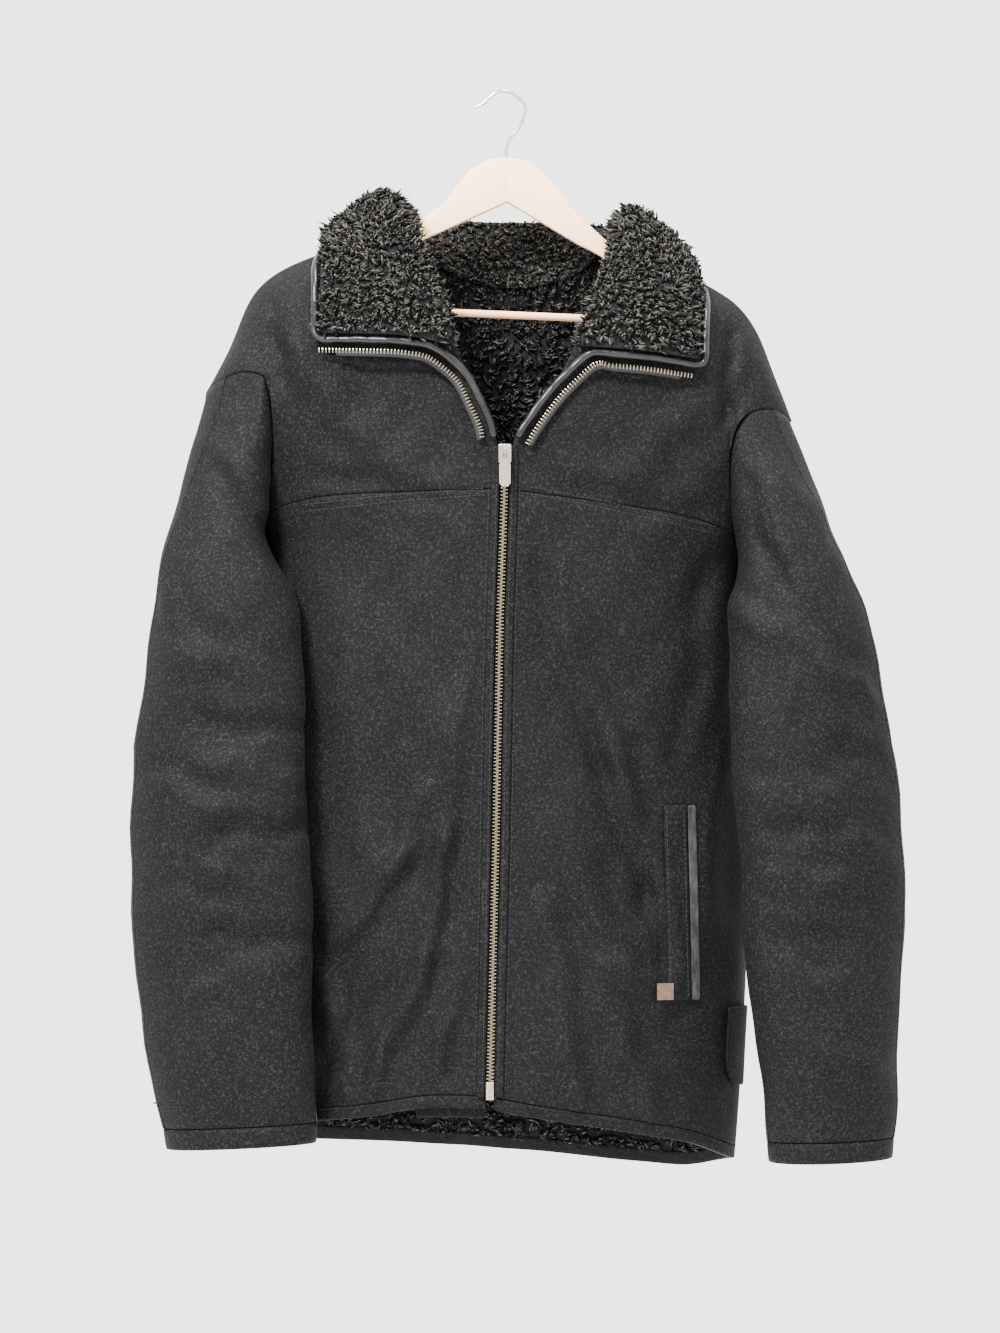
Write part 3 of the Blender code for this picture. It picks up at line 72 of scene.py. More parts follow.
# Creases: x0, z0, x1, z1, width, height, in millimetres
FRONT_CREASES = [
    (-88, -655, -137, -725, 8, 3.2), (-70, -600, -92, -660, 10, 2.0),
    (-27, -485, -50, -640, 9, 2.2), (-50, -640, -66, -739, 8, 3.2),
    (-66, -739, -116, -850, 8, 3.6), (-35, -757, -56, -828, 7, 3.0),
    (-140, -480, -120, -640, 14, 1.6), (-150, -760, -128, -860, 9, 2.4),
    (-20, -560, -44, -700, 7, -2.0), (-96, -760, -150, -830, 9, -2.2),
    (24, -415, 80, -580, 10, -3.0), (80, -580, 119, -683, 9, -3.4),
    (119, -683, 138, -745, 8, -2.6), (89, -742, 119, -757, 8, 2.6),
    (50, -470, 104, -600, 12, 2.2), (60, -640, 96, -740, 10, 1.8),
    (40, -700, 62, -850, 9, 2.4), (100, -800, 128, -870, 9, 2.2),
    (170, -420, 150, -560, 12, -2.0), (186, -560, 172, -700, 10, 2.0),
    (-196, -190, -186, -245, 7, -3.4), (192, -215, 186, -280, 7, -3.4),
    (-160, -250, -120, -300, 16, 2.0), (150, -280, 100, -330, 16, 2.0),
    (-150, -330, -60, -350, 9, -1.6), (60, -345, 160, -365, 9, -1.6),
]
BACK_CREASES = [
    (-120, -330, -90, -480, 12, -3.0), (-90, -480, -60, -620, 10, -2.6),
    (105, -345, 90, -470, 12, -3.0), (90, -470, 70, -590, 10, -2.4),
    (-30, -690, -60, -790, 9, 3.0), (-60, -790, -95, -860, 8, 3.0),
    (60, -640, 84, -760, 9, 3.0), (84, -760, 110, -850, 8, 3.0),
    (-150, -560, -120, -700, 10, 2.2), (150, -540, 128, -690, 10, 2.2),
    (-10, -420, 6, -600, 14, 1.8), (-170, -740, -150, -860, 9, 2.4),
    (170, -760, 156, -880, 9, 2.2), (-196, -200, -198, -260, 7, -3.0),
    (194, -225, 197, -290, 7, -3.0), (10, -720, 4, -880, 10, 2.2),
]
SLEEVE_CREASES_FRONT = [
    (-246, -541, -170, -546, 9, -3.4), (-236, -632, -162, -628, 9, -3.6),
    (-240, -717, -165, -722, 8, -3.4), (-300, -590, -245, -610, 9, 2.6),
    (-250, -570, -176, -588, 8, 2.4), (-246, -665, -172, -676, 8, 2.6),
    (-300, -690, -240, -700, 9, 1.8), (-250, -760, -180, -740, 8, 2.2),
    (-276, -480, -200, -500, 11, 2.0), (-262, -300, -214, -330, 10, 2.2),
    (-240, -330, -190, -400, 9, -2.6), (-290, -430, -250, -500, 10, 1.8),
    (226, -629, 276, -627, 8, -3.2), (233, -717, 284, -719, 8, -3.2),
    (290, -560, 334, -585, 9, -2.6), (270, -490, 316, -520, 9, 2.4),
    (220, -600, 270, -596, 8, 2.4), (230, -672, 290, -676, 9, 2.4),
    (236, -752, 280, -760, 8, 2.4), (250, -810, 310, -830, 9, 1.8),
    (205, -340, 230, -420, 9, -2.6), (240, -330, 280, -400, 11, 2.2),
    (200, -450, 250, -470, 9, 2.0), (300, -640, 338, -660, 9, 1.8),
]
SLEEVE_CREASES_BACK = [
    (-250, -520, -170, -530, 9, 3.0), (-240, -600, -170, -596, 9, -3.0),
    (-300, -560, -250, -575, 9, 2.4), (-250, -660, -176, -668, 8, 2.6),
    (-290, -730, -220, -740, 9, -2.4), (-270, -330, -230, -390, 10, 2.2),
    (240, -560, 320, -570, 9, 3.0), (230, -640, 300, -650, 9, -3.0),
    (250, -700, 330, -716, 8, 2.6), (260, -800, 320, -812, 9, 2.2),
    (250, -380, 290, -440, 10, 2.2), (220, -480, 290, -492, 9, -2.4),
]

# The form of a crease, as shares of its width and height
CREASE_BEND, CREASE_TAPER = 0.35, 1.6
TROUGH_DEPTH, TROUGH_PLACE = 0.45, 1.9

# Where the body's creases fade out: by the sides, the zip and the shoulders
SIDE_FADE = 20.0
ZIP_CLEAR, ZIP_FADE = 14.0, 26.0
SHOULDER_TOP, SHOULDER_FADE = -150.0, 60.0

# Where the sleeves' creases fade out, and how little they swell towards the body
ARMHOLE_TOP, ARMHOLE_FADE = -262.0, 90.0
CUFF_LOW, CUFF_FADE = -900.0, 24.0
BODY_SIDE, MOST_SWELL = -0.2, 0.8

# Slices that give a sleeve's middle line: lowest, highest, step and half thickness
SLEEVE_SLICES = (-890, -270, 30)
SLICE_HALF = 34

# The zip's middle: height, x
ZIP_LINE = [(-290.0, 2.0), (-351.0, 1.0), (-453.0, -2.5), (-640.0, -6.0), (-870.0, -11.5)]

# The two yoke seams: x, height
YOKE_SEAMS = {"left": [(-171.7, -364.7), (-87.6, -356.2), (-15.3, -351.1)],
              "right": [(18.7, -349.4), (82.5, -361.3), (182.8, -383.4)]}

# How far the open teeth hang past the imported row, and how far they run on
ROW_DROP, ROW_EXTRA = 3.0, {"left": 16.0, "right": 10.0}

# Blocks along their row, across it and in depth: a closed tooth, an open tooth, a stitch
CLOSED_TOOTH, OPEN_TOOTH, STITCH = (1.25, 4.2, 2.4), (1.35, 3.9, 2.6), (2.8, 0.7, 0.5)
TOOTH_SIDE = 1.1

# Rows of thread: above the yoke seam, beside the zip, and either side of the welt's middle
YOKE_ROWS = (("low", 3.2), ("high", 9.0))
FRONT_ROWS = (("inner", 6.6), ("outer", 13.0))
FRONT_ROW_TOP, FRONT_ROW_LOW = -330.0, -850.0
POCKET_ROWS = (("inner", -7.5), ("outer", 7.5))
POCKET_X, POCKET_SLANT, POCKET_TOP, POCKET_HEIGHT = 146.0, 4.0, -610.0, 166.0
THREAD_LIFT = 0.1

# Each cut piece of cloth: node, subdivision levels, flat width, flat length, flat area, rests on
CLOTH = [
    ("yoke_left", 3, 0.25, 0.26, 0.047, "back"),
    ("yoke_right", 3, 0.25, 0.26, 0.044, "back"),
    ("front_left", 3, 0.23, 0.54, 0.120, "yoke_left"),
    ("front_right", 3, 0.23, 0.56, 0.125, "yoke_right"),
    ("back", 2, 0.47, 0.80, 0.349, "hanger_yoke"),
    ("hem_front_left", 2, 0.018, 0.215, None, "front_left"),
    ("hem_front_right", 2, 0.018, 0.225, None, "front_right"),
    ("hem_back", 2, 0.018, 0.43, None, "back"),
    ("sleeve_left_front", 3, 0.16, 0.66, 0.096, "yoke_left"),
    ("sleeve_left_back", 2, 0.20, 0.66, 0.120, "back"),
    ("sleeve_right_front", 3, 0.15, 0.64, 0.088, "yoke_right"),
    ("sleeve_right_back", 2, 0.19, 0.64, 0.114, "back"),
    ("cuff_left", 2, 0.024, 0.36, None, "sleeve_left_front"),
    ("cuff_right", 2, 0.024, 0.33, None, "sleeve_right_front"),
    ("wind_flap", 2, 0.065, 0.54, None, "front_left"),
    ("side_strap_left", 2, 0.045, 0.07, None, "back"),
    ("side_strap_right", 2, 0.045, 0.07, None, "back"),
    ("pocket_welt_left", 2, 0.024, 0.17, None, "front_left"),
    ("pocket_welt_right", 2, 0.024, 0.17, None, "front_right"),
    ("lapel_left", 3, 0.125, 0.13, None, "yoke_left"),
    ("lapel_right", 3, 0.12, 0.13, None, "yoke_right"),
    ("collar_back", 3, 0.075, 0.33, None, "back"),
]
TRIM = [
    ("lapel_binding_left", 2, 0.0125, 0.31, None, "lapel_left"),
    ("lapel_binding_right", 2, 0.0125, 0.30, None, "lapel_right"),
    ("front_edge_left", 2, 0.01, 0.55, None, "front_left"),
    ("front_edge_right", 2, 0.01, 0.55, None, "front_right"),
    ("pocket_facing_left", 2, 0.01, 0.168, None, "front_left"),
    ("pocket_facing_right", 2, 0.01, 0.168, None, "front_right"),
    ("zip_tape_left", 1, 0.01, 0.19, 0.0012, "zip_row_left"),
    ("zip_tape_right", 1, 0.01, 0.19, 0.0012, "zip_row_right"),
    ("hang_loop", 2, 0.012, 0.033, None, "back"),
]
# Pieces that reach over a seam gap so that no light comes through: below this height, by this much
SEAM_REACH = {"collar_back": (-120.0, -1.3), "hem_back": (-840.0, 1.3)}

# How sharp an edge stays when its piece is divided, and the angles that count as an edge or a face
SHARPNESS, BACK_SHARPNESS, TRIM_SHARPNESS, BINDING_SHARPNESS = 0.45, 1.0, 0.4, 0.05
EDGE_ANGLE, FLAT_ANGLE, SHAPE_ANGLE = math.radians(46), math.radians(38), math.radians(60)

# Pile: the node, its spacing and its length as shares of the sizes in the panel
PILE = [
    ("lapel_left", 1.0, 1.0), ("lapel_right", 1.0, 1.0), ("collar_back", 1.05, 0.85),
    ("back", 1.3, 0.95), ("yoke_left", 1.3, 0.7), ("yoke_right", 1.3, 0.7),
    ("front_left", 1.6, 0.7), ("front_right", 1.6, 0.7),
    ("sleeve_left_front", 1.6, 0.7), ("sleeve_left_back", 1.6, 0.7),
    ("sleeve_right_front", 1.6, 0.7), ("sleeve_right_back", 1.6, 0.7),
]
FIRST_SEED = 11

# Where pile grows: above these heights and within these widths at the neck, below these elsewhere
BACK_NECK, BACK_NECK_HALF = -345, 104
YOKE_NECK, YOKE_NECK_HALF = -325, 105
HEM_PILE, CUFF_PILE = -835, -862
INSIDE = -0.25
BINDING_MARGIN = 5.0

# Locks to a tuft, and the rings of a lock: share of its length, girth, paleness
TUFT = 7
LOCK_RINGS = ((-0.08, 1.0, 0.0), (0.35, 1.15, 0.06), (0.72, 0.75, 0.55))
LOCK_GIRTH = 0.19

# The notch under the hanger's middle: its top and the fall of each side
NOTCH_X, NOTCH_Z, NOTCH_LEFT, NOTCH_RIGHT = 3.7, -94.1, 0.453, 0.60
NOTCH_HALF, NOTCH_BLEND = 62.0, 20.0
WOOD_COLUMNS = 161
JOINT_X = 0.0034

# Lights: name, place and width in metres, power
LIGHTS = (("key", (-1.5, -2.4, 2.3), 0.9, 720.0), ("fill", (2.4, -3.2, 0.4), 2.4, 30.0),
          ("top", (0.3, -0.7, 2.6), 0.8, 260.0))
LIGHT_AIM = (0.0, -0.05, -0.45)
SKY_STRENGTH = 3.5
FLOOR_HALF, FLOOR_HEIGHT = 4.0, -1.75
JACKET_FRONT = 0.05


class JacketSizes(bpy.types.PropertyGroup):
    pile_length: bpy.props.FloatProperty(
        name="Pile length", description="How far a lock of pile stands out", default=0.0056,
        unit="LENGTH")
    pile_spacing: bpy.props.FloatProperty(
        name="Pile spacing", description="Distance between locks of pile", default=0.0021,
        unit="LENGTH")
    tooth_pitch: bpy.props.FloatProperty(
        name="Tooth pitch", description="Distance between teeth on one side of the zip",
        default=0.0030, unit="LENGTH")
    crease_depth: bpy.props.FloatProperty(
        name="Crease depth", description="Times the heights in the crease tables", default=2.0)
    stitch_pitch: bpy.props.FloatProperty(
        name="Stitch pitch", description="Distance between stitches", default=0.0040,
        unit="LENGTH")


class JacketColours(bpy.types.PropertyGroup):
    leather: bpy.props.FloatVectorProperty(
        name="Leather", description="Base of the outer leather", subtype="COLOR",
        default=(0.0011, 0.0011, 0.0013))
    speck: bpy.props.FloatVectorProperty(
        name="Speck", description="Bright grains on the outer leather", subtype="COLOR",
        default=(0.0175, 0.0175, 0.0185))
    binding: bpy.props.FloatVectorProperty(
        name="Binding", description="Smooth leather of the edges", subtype="COLOR",
        default=(0.0025, 0.0025, 0.0025))
    pile_root: bpy.props.FloatVectorProperty(
        name="Pile root", description="Dark root of the pile", subtype="COLOR",
        default=(0.0012, 0.0012, 0.0013))
    pile_tip: bpy.props.FloatVectorProperty(
        name="Pile tip", description="Grey-beige tip of the pile", subtype="COLOR",
        default=(0.105, 0.098, 0.088))
    teeth: bpy.props.FloatVectorProperty(
        name="Teeth", description="Antique brass of the teeth", subtype="COLOR",
        default=(0.27, 0.23, 0.16))
    wood: bpy.props.FloatVectorProperty(
        name="Wood", description="Pale birch of the hanger", subtype="COLOR",
        default=(0.84, 0.56, 0.34))


def sizes():
    return bpy.context.scene.jacket_sizes


def colours():
    return bpy.context.scene.jacket_colours


def rgba(color, factor=1.0):
    return tuple(min(1.0, c * factor) for c in color[:3]) + (1.0,)


def new_group(name, inputs, outputs):
    """An empty shader node group with named inputs (name, default) and outputs (name, type)."""
    group = bpy.data.node_groups.new(name, "ShaderNodeTree")
    for label, value in inputs:
        made = group.interface.new_socket(name=label, in_out="INPUT", socket_type="NodeSocketFloat")
        made.default_value = value
    for label, kind in outputs:
        group.interface.new_socket(name=label, in_out="OUTPUT", socket_type=kind)
    return group, group.nodes.new("NodeGroupInput"), group.nodes.new("NodeGroupOutput")


def math_node(tree, operation, first, second=None):
    node = tree.nodes.new("ShaderNodeMath")
    node.operation = operation
    for place, value in enumerate((first, second)):
        if value is None:
            continue
        if isinstance(value, (int, float)):
            node.inputs[place].default_value = value
        else:
            tree.links.new(value, node.inputs[place])
    return node.outputs[0]


def noise_node(tree, scale, detail, coordinates, roughness=0.5):
    node = tree.nodes.new("ShaderNodeTexNoise")
    node.inputs["Detail"].default_value = detail
    node.inputs["Roughness"].default_value = roughness
    tree.links.new(scale, node.inputs["Scale"])
    tree.links.new(coordinates, node.inputs["Vector"])
    return node.outputs["Fac"]


def spread(tree, value, low, high):
    node = tree.nodes.new("ShaderNodeMapRange")
    node.inputs["From Min"].default_value = low
    node.inputs["From Max"].default_value = high
    tree.links.new(value, node.inputs["Value"])
    return node.outputs["Result"]


def speckle_group():
    """Fine bright grains with slow patches, as on antiqued suede."""
    name = "Speckled grain"
    if name in bpy.data.node_groups:
        return bpy.data.node_groups[name]
    group, start, end = new_group(
        name, [("Scale", 900.0), ("Patches", 9.0)],
        [("Specks", "NodeSocketFloat"), ("Patches", "NodeSocketFloat"), ("Height", "NodeSocketFloat")])
    place = group.nodes.new("ShaderNodeTexCoord").outputs["Object"]
    grain = noise_node(group, start.outputs["Scale"], 2.0, place, 0.65)
    coarse = noise_node(group, math_node(group, "MULTIPLY", start.outputs["Scale"], 0.42), 1.0, place)
    slow = noise_node(group, start.outputs["Patches"], 3.0, place)
    both = math_node(group, "ADD", math_node(group, "MULTIPLY", grain, 0.6),
                     math_node(group, "MULTIPLY", coarse, 0.4))
    specks = spread(group, both, 0.50, 0.74)
    patches = spread(group, slow, 0.32, 0.68)
    group.links.new(specks, end.inputs["Specks"])
    group.links.new(patches, end.inputs["Patches"])
    group.links.new(both, end.inputs["Height"])
    return group


def wear_group():
    """Soft wrinkles and rubbed places of smooth leather and metal."""
    name = "Rubbed surface"
    if name in bpy.data.node_groups:
        return bpy.data.node_groups[name]
    group, start, end = new_group(
        name, [("Scale", 60.0), ("Stretch", 1.0)],
        [("Rubbed", "NodeSocketFloat"), ("Height", "NodeSocketFloat")])
    place = group.nodes.new("ShaderNodeTexCoord").outputs["Object"]
    turn = group.nodes.new("ShaderNodeMapping")
    stretch = group.nodes.new("ShaderNodeCombineXYZ")
    for axis in ("X", "Y"):
        stretch.inputs[axis].default_value = 1.0
    group.links.new(start.outputs["Stretch"], stretch.inputs["Z"])
    group.links.new(place, turn.inputs["Vector"])
    group.links.new(stretch.outputs["Vector"], turn.inputs["Scale"])
    rubbed = noise_node(group, start.outputs["Scale"], 4.0, turn.outputs["Vector"], 0.6)
    fine = noise_node(group, math_node(group, "MULTIPLY", start.outputs["Scale"], 7.0), 2.0,
                      turn.outputs["Vector"])
    group.links.new(spread(group, rubbed, 0.35, 0.68), end.inputs["Rubbed"])
    group.links.new(math_node(group, "ADD", rubbed, math_node(group, "MULTIPLY", fine, 0.3)),
                    end.inputs["Height"])
    return group


def wood_group():
    """Long faint grain with a joint between the hanger's two halves."""
    name = "Birch grain"
    if name in bpy.data.node_groups:
        return bpy.data.node_groups[name]
    group, start, end = new_group(
        name, [("Scale", 26.0), ("Joint", JOINT_X)],
        [("Grain", "NodeSocketFloat"), ("Half", "NodeSocketFloat"), ("Joint", "NodeSocketFloat")])
    place = group.nodes.new("ShaderNodeTexCoord").outputs["Object"]
    turn = group.nodes.new("ShaderNodeMapping")
    turn.inputs["Scale"].default_value = (0.9, 6.0, 7.0)
    group.links.new(place, turn.inputs["Vector"])
    grain = noise_node(group, start.outputs["Scale"], 5.0, turn.outputs["Vector"], 0.6)
    apart = group.nodes.new("ShaderNodeSeparateXYZ")
    group.links.new(place, apart.inputs["Vector"])
    from_joint = math_node(group, "SUBTRACT", apart.outputs["X"], start.outputs["Joint"])
    half = math_node(group, "GREATER_THAN", from_joint, 0.0)
    near = math_node(group, "ABSOLUTE", from_joint)
    joint = math_node(group, "LESS_THAN", near, 0.0004)
    group.links.new(spread(group, grain, 0.3, 0.7), end.inputs["Grain"])
    group.links.new(half, end.inputs["Half"])
    group.links.new(joint, end.inputs["Joint"])
    return group


def start_material(name, roughness, metallic=0.0):
    made = bpy.data.materials.new(name)
    made.use_nodes = True
    tree = made.node_tree
    shader = tree.nodes["Principled BSDF"]
    shader.inputs["Roughness"].default_value = roughness
    shader.inputs["Metallic"].default_value = metallic
    shader.inputs["Specular IOR Level"].default_value = 0.5 if metallic else 0.26
    return made, tree, shader


def place_group(tree, group, **values):
    node = tree.nodes.new("ShaderNodeGroup")
    node.node_tree = group
    for label, value in values.items():
        node.inputs[label].default_value = value
    return node.outputs


def mix_colors(tree, amount, first, second):
    node = tree.nodes.new("ShaderNodeMix")
    node.data_type = "RGBA"
    for place, value in ((0, amount), (6, first), (7, second)):
        if isinstance(value, (tuple, float)):
            node.inputs[place].default_value = value
        else:
            tree.links.new(value, node.inputs[place])
    return node.outputs[2]


def bump(tree, shader, height, strength, distance):
    node = tree.nodes.new("ShaderNodeBump")
    node.inputs["Strength"].default_value = strength
    node.inputs["Distance"].default_value = distance
    tree.links.new(height, node.inputs["Height"])
    tree.links.new(node.outputs["Normal"], shader.inputs["Normal"])


def speckled_leather(name, base, speck, roughness=0.72):
    made, tree, shader = start_material(name, roughness)
    grain = place_group(tree, speckle_group(), Scale=1050.0, Patches=8.0)
    worn = mix_colors(tree, grain["Patches"], rgba(base, 0.72), rgba(base, 1.3))
    tree.links.new(mix_colors(tree, grain["Specks"], worn, rgba(speck)), shader.inputs["Base Color"])
    rough = spread(tree, grain["Specks"], 0.0, 1.0)
    rough = math_node(tree, "SUBTRACT", roughness + 0.06, math_node(tree, "MULTIPLY", rough, 0.16))
    tree.links.new(rough, shader.inputs["Roughness"])
    shader.inputs["Specular IOR Level"].default_value = 0.09
    bump(tree, shader, grain["Height"], 0.5, 0.0006)
    return made


def rubbed_material(name, base, rubbed, roughness, metallic=0.0, scale=60.0, stretch=1.0,
                    strength=0.3, distance=0.0006):
    made, tree, shader = start_material(name, roughness, metallic)
    wear = place_group(tree, wear_group(), Scale=scale, Stretch=stretch)
    tree.links.new(mix_colors(tree, wear["Rubbed"], rgba(base), rgba(rubbed)), shader.inputs["Base Color"])
    rough = math_node(tree, "ADD", roughness - 0.06, math_node(tree, "MULTIPLY", wear["Rubbed"], 0.14))
    tree.links.new(rough, shader.inputs["Roughness"])
    bump(tree, shader, wear["Height"], strength, distance)
    return made


def lock_material(name, root, tip):
    """Pile locks: dark at the root and pale at the tip, each lock its own shade."""
    made, tree, shader = start_material(name, 0.85)
    shade = tree.nodes.new("ShaderNodeVertexColor")
    shade.layer_name = "shade"
    apart = tree.nodes.new("ShaderNodeSeparateColor")
    tree.links.new(shade.outputs["Color"], apart.inputs["Color"])
    tree.links.new(mix_colors(tree, apart.outputs["Red"], rgba(root), rgba(tip)),
                   shader.inputs["Base Color"])
    shader.inputs["Specular IOR Level"].default_value = 0.1
    return made


def birch(name, base, joint):
    made, tree, shader = start_material(name, 0.42)
    grain = place_group(tree, wood_group(), Joint=joint)
    left = mix_colors(tree, grain["Grain"], rgba((base[0], base[1] * 0.95, base[2] * 0.90)),
                      rgba((base[0] * 0.93, base[1] * 0.86, base[2] * 0.76)))
    right = mix_colors(tree, grain["Grain"], rgba((base[0], base[1] * 0.98, base[2] * 0.97)),
                       rgba((base[0] * 0.95, base[1] * 0.90, base[2] * 0.84)))
    both = mix_colors(tree, grain["Half"], left, right)
    tree.links.new(mix_colors(tree, grain["Joint"], both, rgba(base, 0.62)), shader.inputs["Base Color"])
    bump(tree, shader, grain["Grain"], 0.12, 0.0004)
    return made


def finish_of(key):
    """One material of each finish, made when it is first asked for."""
    made = bpy.data.materials.get(f"{key}_finish")
    if made:
        return made
    c = colours()
    name = f"{key}_finish"
    makers = {
        "outer_leather": lambda: speckled_leather(name, c.leather, c.speck),
        "binding_leather": lambda: rubbed_material(name, c.binding, (0.008, 0.008, 0.0083), 0.32,
                                                   scale=70.0, strength=0.35),
        "pile_base": lambda: rubbed_material(name, c.pile_root, (0.004, 0.0038, 0.0035), 0.95,
                                             scale=160.0, strength=1.0, distance=0.003),
        "pile_locks": lambda: lock_material(name, c.pile_root, c.pile_tip),
        "zip_metal": lambda: rubbed_material(name, c.teeth, (0.17, 0.14, 0.09), 0.34, 1.0,
                                             scale=400.0, strength=0.15),
        "puller_metal": lambda: rubbed_material(name, (0.42, 0.37, 0.31), (0.28, 0.24, 0.19), 0.34,
                                                1.0, scale=500.0, stretch=0.1, strength=0.2),
        "zip_tape": lambda: rubbed_material(name, (0.004, 0.004, 0.0045), (0.010, 0.010, 0.011), 0.8,
                                            scale=900.0, stretch=0.3, strength=0.5),
        "worn_facing": lambda: rubbed_material(name, (0.004, 0.004, 0.004), (0.026, 0.026, 0.022),
                                               0.75, scale=210.0, stretch=0.35, strength=0.8),
        "birch": lambda: birch(name, c.wood, JOINT_X),
        "birch_bar": lambda: birch(name, (0.78, 0.45, 0.24), -1.0),
        "hook_wire": lambda: rubbed_material(name, (0.56, 0.56, 0.57), (0.42, 0.42, 0.43), 0.16, 1.0,
                                             scale=300.0, strength=0.05),
        "plate": lambda: rubbed_material(name, (0.15, 0.095, 0.065), (0.10, 0.062, 0.042), 0.42, 0.85,
                                         scale=260.0, strength=0.15),
        "thread": lambda: rubbed_material(name, (0.003, 0.003, 0.003), (0.009, 0.009, 0.009), 0.8,
                                          scale=800.0),
        "floor": lambda: rubbed_material(name, (0.93, 0.925, 0.92), (0.90, 0.895, 0.89), 0.9,
                                         scale=2.0, strength=0.02),
    }
    return makers[key]()


def crease_height(x, z, table):
    """How far a table of creases raises the cloth: a soft ridge with a shallow trough beside it."""
    total = np.zeros(len(x))
    for x0, z0, x1, z1, width, height in table:
        run = np.array([x1 - x0, z1 - z0], float)
        length = math.hypot(*run)
        along = ((x - x0) * run[0] + (z - z0) * run[1]) / length**2
        near = np.clip(along, 0, 1)
        across = ((x - x0) * -run[1] + (z - z0) * run[0]) / length
        past = (along - near) * length
        side = across + CREASE_BEND * width * np.sin(2.4 * near * math.pi + x0)
        beside = side - TROUGH_PLACE * width
        ridge = np.exp(-((side / width) ** 2)) - TROUGH_DEPTH * np.exp(-((beside / width) ** 2))
        total += height * ridge * np.exp(-((past / (CREASE_TAPER * width)) ** 2))
    return total


def waves(x, z):
    """Slow uneven swells of hanging leather."""
    return (0.8 * np.sin(0.023 * x + 0.031 * z + 1.0) + 0.5 * np.sin(-0.047 * x + 0.036 * z + 2.0)
            + 0.35 * np.sin(0.083 * x + 0.071 * z) + 0.25 * np.sin(0.12 * x - 0.094 * z + 0.7))


def zip_x(z):
    rows = sorted(ZIP_LINE)
    return np.interp(z, [row[0] for row in rows], [row[1] for row in rows])


def torso_shift(points):
    """How far the creases move each place of the body and what lies on it."""
    x, y, z = points.T
    front = crease_height(x, z, FRONT_CREASES)
    back = crease_height(x, z, BACK_CREASES)
    height = np.where(y < 0, front, back) + waves(x, z)
    fade = np.clip(np.abs(y) / SIDE_FADE, 0, 1)
    clear = np.clip((np.abs(x - zip_x(z)) - ZIP_CLEAR) / ZIP_FADE, 0, 1)
    fade *= np.where(y < 0, clear, 1.0)
    fade *= np.clip((SHOULDER_TOP - z) / SHOULDER_FADE, 0, 1)
    shift = np.zeros(points.shape)
    shift[:, 1] = np.sign(y) * height * fade * sizes().crease_depth
    return shift


def sleeve_axes():
    """The middle line of each sleeve: height, x, y."""
    axes = {}
    for side in ("left", "right"):
        points = []
        for half in ("front", "back"):
            points += [v.co / MM for v in NODES[f"sleeve_{side}_{half}"].data.vertices]
        points = np.array(points)
        rows = []
        for z in range(*SLEEVE_SLICES):
            near = points[np.abs(points[:, 2] - z) < SLICE_HALF]
            rows.append((z, (near[:, 0].min() + near[:, 0].max()) / 2,
                         (near[:, 1].min() + near[:, 1].max()) / 2))
        axes[side] = np.array(rows)
    return axes


def sleeve_shift(points, axis):
    """How far the creases move each place of a sleeve, away from its middle line."""
    x, y, z = points.T
    middle_x = np.interp(z, axis[:, 0], axis[:, 1])
    middle_y = np.interp(z, axis[:, 0], axis[:, 2])
    out = np.stack([x - middle_x, y - middle_y, np.zeros(len(x))], axis=1)
    out /= np.maximum(np.linalg.norm(out, axis=1, keepdims=True), 1e-6)
    front = crease_height(x, z, SLEEVE_CREASES_FRONT)
    back = crease_height(x, z, SLEEVE_CREASES_BACK)
    height = np.where(y < middle_y, front, back) * np.clip(np.abs(out[:, 1]) * 1.6, 0, 1)
    height = height + 0.8 * waves(x + 40, z)
    inwards = np.sign(middle_x) * out[:, 0] < BODY_SIDE
    height = np.where(inwards, np.minimum(height, MOST_SWELL), height)
    fade = np.clip((ARMHOLE_TOP - z) / ARMHOLE_FADE, 0, 1) * np.clip((z - CUFF_LOW) / CUFF_FADE, 0, 1)
    return out * (height * fade * sizes().crease_depth)[:, None]


def shift_for(node):
    if node.startswith(("sleeve", "cuff")):
        axis = sleeve_axes()["left" if "left" in node else "right"]
        return lambda points: sleeve_shift(points, axis)
    if node.startswith(("collar", "lapel", "zip", "hang")):
        return None
    return torso_shift


def smooth_copy(node, name, levels, sharpness, shift=None):
    """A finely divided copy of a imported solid, with its edges kept by a crease and its folds added."""
    work = bmesh.new()
    work.from_mesh(NODES[node].data)
    bmesh.ops.remove_doubles(work, verts=work.verts, dist=1e-6)
    bmesh.ops.join_triangles(work, faces=work.faces, cmp_seam=False, cmp_sharp=False,
                             cmp_uvs=False, cmp_vcols=False, cmp_materials=False,
                             angle_face_threshold=FLAT_ANGLE,
                             angle_shape_threshold=SHAPE_ANGLE)
    layer = work.edges.layers.float.new("crease_edge")
    for edge in work.edges:
        if len(edge.link_faces) == 2 and edge.calc_face_angle() > EDGE_ANGLE:
            edge[layer] = sharpness
    mesh = bpy.data.meshes.new(name)
    work.to_mesh(mesh)
    work.free()
    made = link(name, mesh)
    rounder = made.modifiers.new("round", "SUBSURF")
    rounder.levels = levels
    rounder.render_levels = levels
    bpy.context.view_layer.update()
    graph = bpy.context.evaluated_depsgraph_get()
    made.data = bpy.data.meshes.new_from_object(made.evaluated_get(graph))
    made.data.name = name
    made.modifiers.clear()
    if shift:
        points = points_of(made)
        set_points(made, points + shift(points))
    made.data.shade_smooth()
    return made


def link(name, data):
    """A new object in the scene, from its mesh, light or camera."""
    obj = bpy.data.objects.new(name, data)
    bpy.context.scene.collection.objects.link(obj)
    return obj


def points_of(obj):
    """The object's points in millimetres."""
    flat = np.empty(len(obj.data.vertices) * 3)
    obj.data.vertices.foreach_get("co", flat)
    return flat.reshape(-1, 3) / MM


